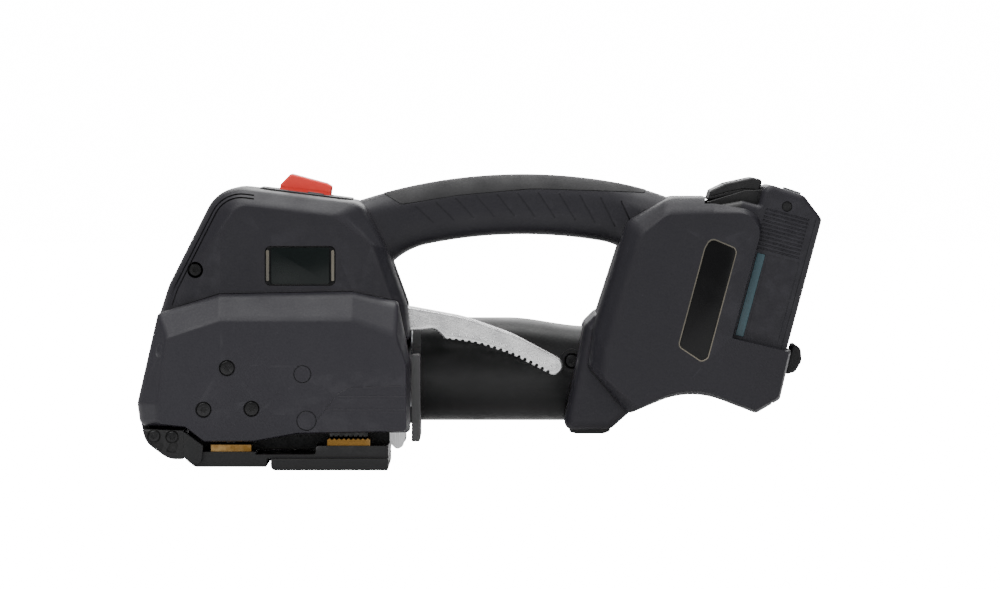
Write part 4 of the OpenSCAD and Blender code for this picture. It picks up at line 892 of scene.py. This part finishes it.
def sweepTube(name, points, r, seg=8):
    rings = []
    for i, p in enumerate(points):
        a, b = Vector(points[max(0, i - 1)]), Vector(points[min(len(points) - 1, i + 1)])
        along = (b - a).normalized()
        side = Vector((0, 1, 0))
        up = along.cross(side).normalized()
        rings.append([tuple(Vector(p) + r * (math.cos(t) * side + math.sin(t) * up)) for t in circle(seg)])
    return loft(name, rings)


padSeam = [(47.6, 141.6, 1.5), (57.2, 135.6, 5), (87, 140.4, 60), (125.3, 143.8, 80), (168, 142.4, 60),
           (183, 141.7, 1.5), (196, 165, 1), (36, 165, 1)]


def padShape(name, grow=0.0):
    # strip let into the top of the handle, its ends running out at the top
    pad = gripBody(name, 3.0 if grow else 0.25, -16, 16)
    cut(pad, gripBody("padUnder", -2.4 - grow, -17, 17))
    return combine(pad, plate("padOutline", inset(padSeam, -grow), -45, 45), "INTERSECT")


skin = buildSkin()
for side, label in ((-1, "left"), (1, "right")):
    half = newObject(label + "ShellSkin", skin.data.copy())
    near, far = across(side, 0.09, 120)
    combine(half, block("half", (-120, near, -20), (300, far, 220)), "INTERSECT")
    place(half, "tool", looks["body"], [label + "_shell"], width=0.28)
bpy.data.objects.remove(skin)
place(padShape("handlePadSkin"), "tool", looks["rubber"], ["handle_pad"], width=0.3)
print("body shells done")

# side covers
coverScrews = [(-31.2, 52.5), (-43.2, 31.2), (-18.7, 31.7)]
coverPlugs = [(7.3, 49.4, 4.3), (9.4, 25.6, 4.9)]
coverLines = [(26, 38.2, 0.32), (26, 36.6, 0.22), (19, 31.4, 0.32), (19, 29.8, 0.22), (34, 44.4, 0.16),
              (36, 50.2, 0.14)]


def buildCover(side, label):
    face = faceOf[side]
    cover = coverSolid(label + "CoverSkin", side)
    inner = inset(coverOuter, shellWall)
    innerFace = inset(coverFace, shellWall)
    rows = [(-face + shellWall, inset(innerFace, 1)), (-face + shellWall + 1, innerFace),
            (-face + 11, inset(inner, 0.6)), (-face + 14, inner), (-38, inner)]
    if side > 0:
        rows = [(-y, c) for y, c in rows[::-1]]
    # rounded swelling over the front bearing
    add(cover, ball("dome", (-61.6, side * (face - 4.6), 60.6), (6.2, 6.2 * 0.62, 6.2), 40, 24))
    # faint edge of the flatter field in the lower rear of the face
    fieldEdge = [(8.6, 17.5), (24.5, 38.6), (30, 42.4), (62, 43.6)]
    cut(cover, sweepTube("fieldEdge", [(x, side * (face + 0.12), z) for x, z in fieldEdge], 0.34))
    cut(cover, loft("coverHollow", ringsOf(rows, 6)))
    for x, z in coverScrews:
        near, far = across(side, face - 1.7, face + 2)
        cut(cover, barY("seat", x, z, near, far, screwSeat),
            barY("hole", x, z, *across(side, face - 9, face), 2.1, seg=24))
    for x, z, r in coverPlugs:
        cut(cover, barY("plugSeat", x, z, *across(side, face - 1.4, face + 2), r + 0.22))
    lineY, lineEnd = side * (face + 0.3), 64
    for x, z, r in coverLines:
        cut(cover, bar("line", (x, lineY, z), (lineEnd, lineY, z), r + 0.12, seg=10))
    if side < 0:
        cut(cover, block("strapWay", (-52, -54, 0), (52, -20, 27)))
    cut(cover, gearboxRoom())
    return place(cover, "tool", looks["cover"], [label + "_cover"], width=0.3)


for side, label in ((-1, "left"), (1, "right")):
    buildCover(side, label)
    face = faceOf[side]
    plugs = [softPlate("plug", [(x + r * math.cos(a), z + r * math.sin(a), 1) for a in circle(24)],
                       *across(side, face - 1.4, face - 0.05), 0.35, steps=1) for x, z, r in coverPlugs]
    place(merged(label + "CoverPlugs", plugs), "tool", looks["cover"], ["cover_plugs"] if side < 0 else (),
          width=0.1)
    screwSet(label + "CoverScrews", [(x, side * (face - 1.6), z) for x, z in coverScrews], (0, side, 0),
             screwR, 1.3, "darkScrew", ["cover_screws"] if side < 0 else (), seed=5,
             shank=5.8 if side < 0 else 12)
print("covers done")

# nose and front wall
nose = {"left": -58, "right": 60}
nose["screws"] = [(-68.6, 17.6), (-59.3, 17.2)]
nose["outline"] = [(-74.75, 21.05, 0.6), (-72.66, 14.21, 14), (-61.16, 5.7, 14), (-53.4, 5.7, 0.8),
                   (-53.2, 20.9, 0.6)]
coreOuter = [(-57, 5.6, 4), (-44, 5.6, 3), (-40, 9.8, 3), (-38, 84, 3), (-65.6, 84.4, 3), (-76.6, 34, 8),
             (-75.8, 17, 14)]
frontWall = plate("noseSkin", coreOuter, -seamY + 0.2, seamY - 0.2)
cut(frontWall, plate("frontInner", inset(coreOuter, 3), -50, 50),
    block("frontRear", (-60, -60, -5), (40, 60, 120)), block("frontLow", (-100, -60, -5), (40, 60, 18)),
    block("frontTop", (-100, -60, 65.8), (40, 60, 120)))
noseBlock = softPlate("noseBlock", nose["outline"], nose["left"], nose["right"], 1.2)
add(noseBlock, softPlate("cheek", [(-55, 8, 1), (-50, 3.5, 2), (-44.4, 3.3, 3), (-43.4, 12.8, 1),
                                   (-54, 20.6, 1)], -57.6, -54.2, 0.6))
# web of shallow pockets in the strap-side face of the nose
for corners in ([(-57.5, 9, 1), (-56, 14.5, 1), (-60.5, 13.6, 1.5), (-63, 9.6, 1)],
                [(-65.2, 9.6, 1), (-63, 14, 1.5), (-71, 15, 2), (-69.5, 12, 2)]):
    cut(noseBlock, plate("nosePocket", corners, nose["left"] - 1, nose["left"] + 1.2))
for x, z in nose["screws"]:
    cut(noseBlock, barY("noseSeat", x, z, nose["left"] - 1, nose["left"] + 0.9, 3.5))
add(frontWall, noseBlock)
place(frontWall, "tool", looks["black"], ["front_cover"], width=0.3)
screwSet("noseScrewSet", [(x, nose["left"] + 0.85, z) for x, z in nose["screws"]], (0, -1, 0), 3, 1.5,
         "darkScrew", ["nose_screws"], seed=9, shank=12)

# motor tube
tube = {"start": 65.6, "end": 156.4, "r": 27.05, "wall": 2.2, "screwX": 145.6, "screwZ": 53.7, "seatY": 6}
tubeBody = tubeShape("motorTubeSkin", tube["start"], tube["end"], tube["r"])
cut(tubeBody, tubeShape("tubeInside", tube["start"] - 3, tube["end"] - 2.2, tube["r"] - tube["wall"], 96))
add(tubeBody, barY("screwBoss", tube["screwX"], tube["screwZ"], 3, 18, 6.2))
cut(tubeBody, barY("screwMouth", tube["screwX"], tube["screwZ"], -4, tube["seatY"], screwSeat))
cut(tubeBody, barY("screwHole", tube["screwX"], tube["screwZ"], 5, 16, 2, seg=24))
place(tubeBody, "tool", looks["tube"], ["motor_tube"], width=0.3)

# lever
leverTip = 142.5
leverShape = [(42, 77, 1), (47, 69, 3), (63.6, 70.2, 3), (74, 71.4, 5), (79.6, 66, 3), (97, 63.6, 60),
              (115, 57.6, 60), (leverTip - 4.6, 45.8, 4.6), (leverTip - 0.2, 54, 4.6), (115, 68.4, 80),
              (90, 77.4, 80), (62, 82.6, 40), (44, 84, 5)]


def buildLever():
    y0, y1 = -20, -1
    lever = softPlate("leverSkin", leverShape, y0, y1, 1.5, steps=12)
    pivotX, pivotZ = 46, 76.5
    arm = [(31.5, 73.4, 1), (pivotX, 73.4, 1), (pivotX, 83.5, 2), (31.5, 78.5, 2)]
    add(lever, barY("leverHub", pivotX, pivotZ, y0 + 0.01, y1 - 0.01, 9),
        softPlate("leverArm", arm, y0, -12.5, 0.4))
    # sunk field on both flanks leaves a thin rim, deeper towards the tip
    field = [(67, 74.4, 2), (78, 73.2, 2), (84, 67.8, 3), (98, 65.2, 60), (115, 59.2, 60),
             (leverTip - 6.6, 48.6, 3), (leverTip - 3.4, 53.6, 3), (114, 65.8, 80), (90, 74.6, 80),
             (70, 79.2, 30)]
    for near, far in ((y0 - 1, y0 + 1.1), (y1 - 1.1, y1 + 1)):
        cut(lever, plate("field", field, near, far))
    # hollow under the root
    cut(lever, block("rootHollow", (65, y0 + 3.4, 58), (76, y1 - 3.4, 73.4)))
    # finger scallops along the lower edge
    low = [(82.2 + 50.8 * t, -10.5, 65.5 - 2.9 * t - 13.6 * t * t) for t in (i / 20 for i in range(21))]
    notch = barY("notch", 0, 0, -14, 14, 0.95, seg=20)
    scallops = alongPath("leverScallops", notch, low, 17)
    combine(lever, scallops, "DIFFERENCE", selfCut=True)
    # raised pips beside each scallop on the flanks
    pips = []
    for y in (y0 + 1.1, y1 - 1.1):
        row = [(x + 1.5, y, z + 2.6) for x, _, z in low]
        pips.append(alongPath("pips", ball("pip", (0, 0, 0), (0.95, 0.95, 0.95), 16, 10), row, 16, 0.8, 0.7))
    cut(lever, barY("pinHole", pivotX, pivotZ, y0 - 1, y1 + 1, 4.05))
    combine(lever, merged("allPips", pips), "UNION", selfCut=True)
    return lever


place(buildLever(), "lever", looks["lever"], ["lever"], width=0.25)
print("lever done")

# controls on the head
long, wide = panel["length"] / 2, panel["width"] / 2
panelSkin = flatPlate("panelSkin", -long, long, -wide, wide, -panel["thick"], 0.6, 7, 0.5)
cut(panelSkin, flatPlate("displaySeat", -23.1, -15.9, -12.3, 12.3, 0.1, 3, 1.5, 0.01),
    block("buttonGap", (-15.2, -10.5, -5), (13.2, 10.5, 5)))
for side in (-1, 1):
    cut(panelSkin, bar("keySeat", (panel["keyX"], side * panel["keyY"], -5),
                       (panel["keyX"], side * panel["keyY"], 5), 4.5))
    # row of light dots beside each key
    for i in range(4):
        cut(panelSkin, bar("dot", (-8 + i * 3, side * 24.4, 0.3), (-8 + i * 3, side * 24.4, 3), 0.55, seg=16))
place(onTop(panelSkin), "tool", looks["black"], ["control_panel"], width=0.2)
lens = flatPlate("displayLensSkin", -22.9, -16.1, -12.1, 12.1, 0.12, 0.75, 1.4, 0.25)
place(onTop(lens), "tool", looks["inlay"], ["display_lens"], width=0.05)

button = {"from": -14.4, "to": 12.6, "half": 10, "low": -1.6}
buttonSide = [(button["from"], button["low"], 0.4), (button["to"], button["low"], 0.4),
              (button["to"], 5.4, 1.4), (9.6, 6.7, 2.4), (-9.4, 9.3, 1.6), (-14.0, 3.2, 1.2)]
buttonSkin = softPlate("triggerButtonSkin", buttonSide, -button["half"], button["half"], 1.1, steps=8)
# finger dish and pressed ribs
cut(buttonSkin, ball("dish", (0.8, 0, 9.0), (10.5, 7.4, 1.5), 48, 32, 8.4))
ribs = alongPath("buttonRibs", barY("rib", 0, 0, -7, 7, 0.42, seg=12), [(-4, 0, 8.15), (8, 0, 6.4)], 6)
combine(buttonSkin, ribs, "UNION", selfCut=True)
for side in (-1, 1):
    near, far = across(side, button["half"] - 0.3, button["half"] + 0.6)
    cut(buttonSkin, block("flankLine", (-13.2, near, 1.9), (12, far, 2.3)))
add(buttonSkin, bar("plunger", (-1, 0, -6), (-1, 0, 0), 3))
place(onTop(buttonSkin), "button", looks["red"], ["trigger_button"], width=0.15)

for side, label, number in ((-1, "mode", 1), (1, "force", 2)):
    x, y = panel["keyX"], side * panel["keyY"]
    key = bar("keyCap", (x, y, -1.4), (x, y, 1.2), 4.2, seg=64)
    cut(key, ball("thumb", (x, y, 1.35), (3.2, 3.2, 0.5), 40, 20))
    add(key, bar("stem", (x, y, -2.8), (x, y, -1), 1.5, seg=24))
    key.name = label + "KeySkin"
    place(onTop(key), "key_" + str(number), looks["key"], [label + "_key"], width=0.25)
print("controls done")

# badge windows and inlays
for side, label in ((-1, "left"), (1, "right")):
    y0, y1 = across(side, headHalf - 1.2, headHalf - 0.15)
    surround = softPlate(label + "BadgeRim", badgeCorners(), y0, y1, 0.35)
    window = [(-9.3, 94.9, 1.4), (20.9, 94.9, 1.4), (20.9, 113.9, 1.4), (-9.3, 113.9, 1.4)]
    cut(surround, plate("windowSeat", window, *across(side, headHalf - 0.55, headHalf + 2)))
    place(surround, "tool", looks["inlay"], ["side_inlays"] if side < 0 else (), width=0.1)
    near, far = across(side, headHalf - 0.54, headHalf - 0.2)
    place(softPlate(label + "BadgeGlass", inset(window, 0.12), near, far, 0.12), "tool", looks["badge"],
          width=0)
    # painted highlight: thin beige strips at both ends of the badge stand for the glints on its glossy ends
    for x, mark in ((-10.9, "A"), (22.5, "B")):
        corners = [(x - 0.75, 96.6, 0.6), (x + 0.75, 96.6, 0.6), (x + 0.75, 112.4, 0.6),
                   (x - 0.75, 112.4, 0.6)]
        near, far = across(side, headHalf - 0.3, headHalf - 0.02)
        place(softPlate(label + "BadgeGlint" + mark, corners, near, far, 0.1), "tool", looks["glint"],
              width=0)
    y0, y1 = across(side, rearHalf - 1.2, rearHalf - 0.25)
    place(softPlate(label + "InlaySkin", leaned(inlayShape), y0, y1, 0.5), "tool", looks["inlay"], width=0)
    # raised rim round the inlay; its beige colour is a painted highlight along the edge
    y0, y1 = across(side, rearHalf - 0.7, rearHalf + 0.12)
    rim = plate(label + "InlayRim", inset(leaned(inlayShape), -0.35), y0, y1)
    cut(rim, plate("rimInner", inset(leaned(inlayShape), 0.28), y0 - 1, y1 + 1))
    place(rim, "tool", looks["glint"], width=0.1)

# battery
battery = {"low": -28, "rows": 5, "pitch": 18.45, "walls": 4.4, "back": 30.5, "deep": 60, "roll": 3.4}
batteryStep = battery["rows"] * battery["pitch"] + battery["low"] + battery["walls"]
batteryShape = [(-32, -28, 2), (27.98, -28, 2), (27.98, batteryStep + 1.4, 3), (16, batteryStep + 10.7, 5),
                (-5.4, batteryStep + 12, 5), (-5.4, batteryStep, 1), (-14, batteryStep, 3),
                (-32, batteryStep - 8.6, 2)]
splitU = -14
batteryHalf = 37.3


def batteryBody(name, d=0.0):
    half = batteryHalf - d
    return softPlate(name, inset(batteryShape, d), -half, half, battery["roll"], steps=7, soft=5)


def inBay(obj):
    return moved(obj, bayFrame)


def buildBattery():
    case = batteryBody("batteryCaseSkin")
    cut(case, batteryBody("batteryHollow", 2), block("caseSide", (-60, -60, -60), (splitU, 60, 140)))
    cheeks = []
    cheek = [(-31.4, batteryStep - 9.4, 0.5), (-14, batteryStep - 1.4, 2), (-4.6, batteryStep - 1.4, 0.5),
             (-4.6, batteryStep + 8.4, 1), (-14.2, batteryStep + 5.2, 3), (-31.2, batteryStep - 5.4, 0.6)]
    for side in (-1, 1):
        outside = batteryHalf + 1
        cut(case, barY("screwSeat", 8.8, 71.7, *across(side, batteryHalf - 1.7, batteryHalf + 2), 2.7,
                       seg=32))
        near, far = across(side, batteryHalf - 0.9, outside)
        cut(case, block("stripeSeat", (0.2, near, 1), (4.6, far, 45)))
        ribLine = [(0, side * batteryHalf, 47.6), (0, side * batteryHalf, 67.8)]
        ribs = alongPath("batteryRibs", bar("ribPiece", (0, 0, -21.6), (0, 0, 1.5), 0.5, seg=12), ribLine, 11)
        combine(case, ribs, "DIFFERENCE", selfCut=True)
        # sunk panel beside the stripe
        near, far = across(side, batteryHalf - 0.35, outside)
        panelCorners = [(5.6, 2.2, 1), (22.6, 2.2, 1), (22.6, 45.4, 1), (5.6, 45.4, 1)]
        cut(case, plate("sidePanel", panelCorners, near, far))
        cheeks.append(softPlate("latchCheek", cheek, *across(side, 24.5, 26.9), 0.4, steps=4))
        # edge line parallel to the back
        cut(case, block("edgeLine", (24.7, near, -20), (25.1, far, batteryStep + 1)))
    return case, cheeks


case, cheeks = buildBattery()
place(inBay(case), "battery", looks["body"], ["battery_case"], width=0.3)
place(inBay(merged("latchCheeks", cheeks)), "battery", looks["black"], width=0.15)
rails = batteryBody("batteryRailSkin")
cut(rails, batteryBody("railHollow", 2.2), block("railSide", (splitU + 0.12, -60, -60), (60, 60, 140)))
railU = battery["back"] - battery["deep"] + 4
for side in (-1, 1):
    low, high = sorted((side * batteryHalf - 3.5, side * batteryHalf + 3.5))
    cut(rails, block("groove", (railU - 2.5, low, -30), (railU + 2.5, high, 62)))
for y in (-18, -6, 6, 18):
    cut(rails, block("slot", (-29, y - 1.2, -30), (-21, y + 1.2, -18)))
place(inBay(rails), "battery", looks["black"], ["battery_rail_cover"], width=0.25)
stripeCorners = [(0.3, 1.1, 0.5), (4.5, 1.1, 0.5), (4.5, 44.9, 0.5), (0.3, 44.9, 0.5)]
stripes = [softPlate("stripe", stripeCorners, *across(side, batteryHalf - 0.85, batteryHalf - 0.02), 0.2)
           for side in (-1, 1)]
place(inBay(merged("batteryStripeSkin", stripes)), "battery", looks["teal"], ["battery_stripes"], width=0)
deepScrews = [barY("deepScrew", 8.8, 71.7, *across(side, batteryHalf - 1.68, batteryHalf - 1.1), 2.4, seg=24)
              for side in (-1, 1)]
place(inBay(merged("batteryScrewHeads", deepScrews)), "battery", looks["darkScrew"], width=0.1)

latchShape = [(-31, batteryStep - 5, 1), (-14.4, batteryStep + 3.4, 3), (-6.2, batteryStep + 3.4, 0.6),
              (-6.2, batteryStep + 13.2, 2), (-11.5, batteryStep + 13, 5), (-24.3, batteryStep + 6.4, 5),
              (-30.8, batteryStep + 0.8, 2)]
latch = softPlate("batteryLatchSkin", latchShape, -24, 24, 1.2)
path = [(-26.6 + 18.6 * t, 0, batteryStep + 4.9 + 11.6 * t - 3.6 * t * t)
        for t in (i / 10 for i in range(11))]
combine(latch, alongPath("latchGrooves", barY("latchPiece", 0, 0, -20, 20, 0.55, seg=12), path, 12),
        "DIFFERENCE", selfCut=True)
for side in (-1, 1):
    line = [(-30.2, -2.4), (-22, 2.4), (-14.4, 6.2), (-5, 7.6)]
    cut(latch, sweepTube("latchLine", [(u, side * 24, batteryStep + w) for u, w in line], 0.4))
place(inBay(latch), "latch", looks["black"], ["battery_latch"], width=0.2)
# charge window on the battery's sloping shoulder
windowCorners = [(6.5, 10.6), (15.2, 10.1), (15.2, 11.9), (6.5, 12.4)]
window = softPlate("chargeWindow", [(u, batteryStep + w, 0.3) for u, w in windowCorners], -11, 11, 0.3,
                   steps=3)
place(inBay(window), "battery", looks["key"], width=0)
print("battery done")

# screws, foot, bumper
screwSet("headScrewSkin", [(x, seat - 0.02, z) for x, z, seat in shellScrews if seat < 0]
         + [(tube["screwX"], tube["seatY"] - 0.02, tube["screwZ"])], (0, -1, 0), screwR, 2.5, "darkScrew",
         ["shell_screws"], seed=12, shank=9)
screwSet("rearScrewSkin", [(x, seat + 0.02, z) for x, z, seat in shellScrews if seat > 0], (0, 1, 0), 3.7,
         2.5, "darkScrew", seed=7, shank=50)
footX = 154.6
footShape = [(-10.6, 17.8, 2), (-7, 16.9, 3), (7, 16.9, 3), (10.6, 18.2, 2), (10.6, 20.4, 0.4),
             (-10.6, 20.4, 0.4)]
foot = softPlate("rearFootSkin", [(footX + x, z, r) for x, z, r in footShape], -19.6, 19.6, 0.8)
for y in (-11, 11):
    cut(foot, bar("footSeat", (footX, y, 10), (footX, y, 18.6), 4))
place(foot, "tool", looks["rubber"], ["rear_foot"], width=0.2)
screwSet("footScrewHeads", [(footX, -11, 18.55), (footX, 11, 18.55)], (0, 0, -1), 3.6, 1.4, "zincScrew",
         seed=4)
bumperShape = [(31.6, -12.9, 1), (36.4, -10, 3.5), (38.2, -3.6, 5), (36, 2.6, 3.5), (31, 4.4, 1.5),
               (31, -6, 0.3)]
place(softPlate("rearBumperSkin", leaned(bumperShape), -14, 14, 1.6), "tool", looks["rubber"],
      ["rear_bumper"], width=0.2)

# CAD pieces that keep their shape
finishes = {
    "base_plate": "blackSteel", "sole_plate": "blackSteel", "tension_anvil": "gold", "weld_anvil": "gold",
    # the main frame takes the near black casting colour, so the part of it seen beside the nose is dark
    "main_frame": "darkCasting",
    "motor_flange": "strip", "strap_guide": "guide", "bevel_box": "casting", "planetary_gearbox": "steel",
    "motor_can": "blackSteel",
    "weld_motor_can": "blackSteel", "weld_motor_bracket": "casting", "weld_belt": "belt",
    "trigger_switch": "board", "control_board": "board",
    "battery_terminals": "contact", "base_screws": "zincScrew", "lever_pin": "steel",
    "lever_spring": "steel", "shaft_bearings": "steel",
    "rocker_arm": "darkCasting", "drive_shaft": "steel", "drive_gear": "steel", "bevel_gear": "steel",
    "bevel_pinion": "steel",
    "tension_wheel": "blackSteel", "wheel_shaft": "steel", "wheel_gear": "steel", "motor_rotor": "steel",
    "weld_carriage": "darkCasting",
    "cutter_blade": "blackSteel", "weld_shoe": "blackSteel", "eccentric_shaft": "steel",
    "weld_rotor": "steel", "battery_cells": "cell", "battery_screws": "zincScrew",
}
for name, look in finishes.items():
    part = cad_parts[name]
    part.data.materials.clear()
    part.data.materials.append(looks[look])
    weld = part.modifiers.new("join corners", "WELD")
    weld.merge_threshold = 0.005 * mm
    soften(part, 0.25)
print("CAD pieces finished:", len(finishes))

# floor, light and camera; the backdrop is brighter to the lens than it lights the tool
glare, worldLight = 16, 0.42


def buildStage():
    bpy.ops.mesh.primitive_plane_add(size=12, location=(0, 0, -0.0006))
    floor = bpy.context.object
    floor.name = "floor"
    mat = bpy.data.materials.new("pale floor")
    mat.use_nodes = True
    tree = mat.node_tree
    shader = tree.nodes["Principled BSDF"]
    speck = node(tree, "ShaderNodeTexNoise", Scale=900.0, Detail=3.0)
    where = tree.nodes.new("ShaderNodeTexCoord")
    tree.links.new(where.outputs["Object"], speck.inputs["Vector"])
    tree.links.new(blendColour(tree, speck.outputs["Fac"], (0.86, 0.86, 0.86), (0.9, 0.9, 0.9)),
                   shader.inputs["Base Color"])
    seen = tree.nodes.new("ShaderNodeLightPath")
    shader.inputs["Emission Color"].default_value = (1, 1, 1, 1)
    tree.links.new(blendValue(tree, seen.outputs["Is Camera Ray"], 0.0, glare),
                   shader.inputs["Emission Strength"])
    shader.inputs["Roughness"].default_value = 0.75
    floor.data.materials.append(mat)
    world = bpy.data.worlds.new("studio")
    bpy.context.scene.world = world
    world.use_nodes = True
    back = world.node_tree.nodes["Background"]
    back.inputs[0].default_value = (1, 1, 1, 1)
    seen = world.node_tree.nodes.new("ShaderNodeLightPath")
    world.node_tree.links.new(blendValue(world.node_tree, seen.outputs["Is Camera Ray"], worldLight, glare),
                              back.inputs[1])
    for label, spot, size, power, aim in (
            ("key", (-0.5, -1.1, 1.25), 0.9, 17, (0.05, 0, 0.08)),
            ("fill", (1.0, -1.2, 0.5), 1.2, 5, (0.1, 0, 0.08)),
            ("top", (0.1, 0.1, 1.6), 1.3, 30, (0.1, 0, 0.05)),
            ("rim", (0.2, 1.3, 0.8), 1.0, 12, (0.1, 0, 0.1))):
        lamp = bpy.data.lights.new(label, "AREA")
        lamp.size = size
        lamp.energy = power
        obj = newObject(label, lamp)
        obj.location = spot
        obj.rotation_euler = (Vector(aim) - Vector(spot)).to_track_quat("-Z", "Y").to_euler()


buildStage()
camera = newObject("camera", bpy.data.cameras.new("camera"))
distance = 3.2
sensor, viewWidth = 36, 0.52
camera.data.sensor_width = sensor
camera.data.lens = sensor * distance / viewWidth
aim = Vector((0.1082, 0, 0.0884))
rise = math.radians(1.6)
camera.location = aim + Vector((0, -distance * math.cos(rise), distance * math.sin(rise)))
camera.rotation_euler = (math.pi / 2 - rise, 0, 0)
camera.data.clip_end = 50
bpy.context.scene.camera = camera
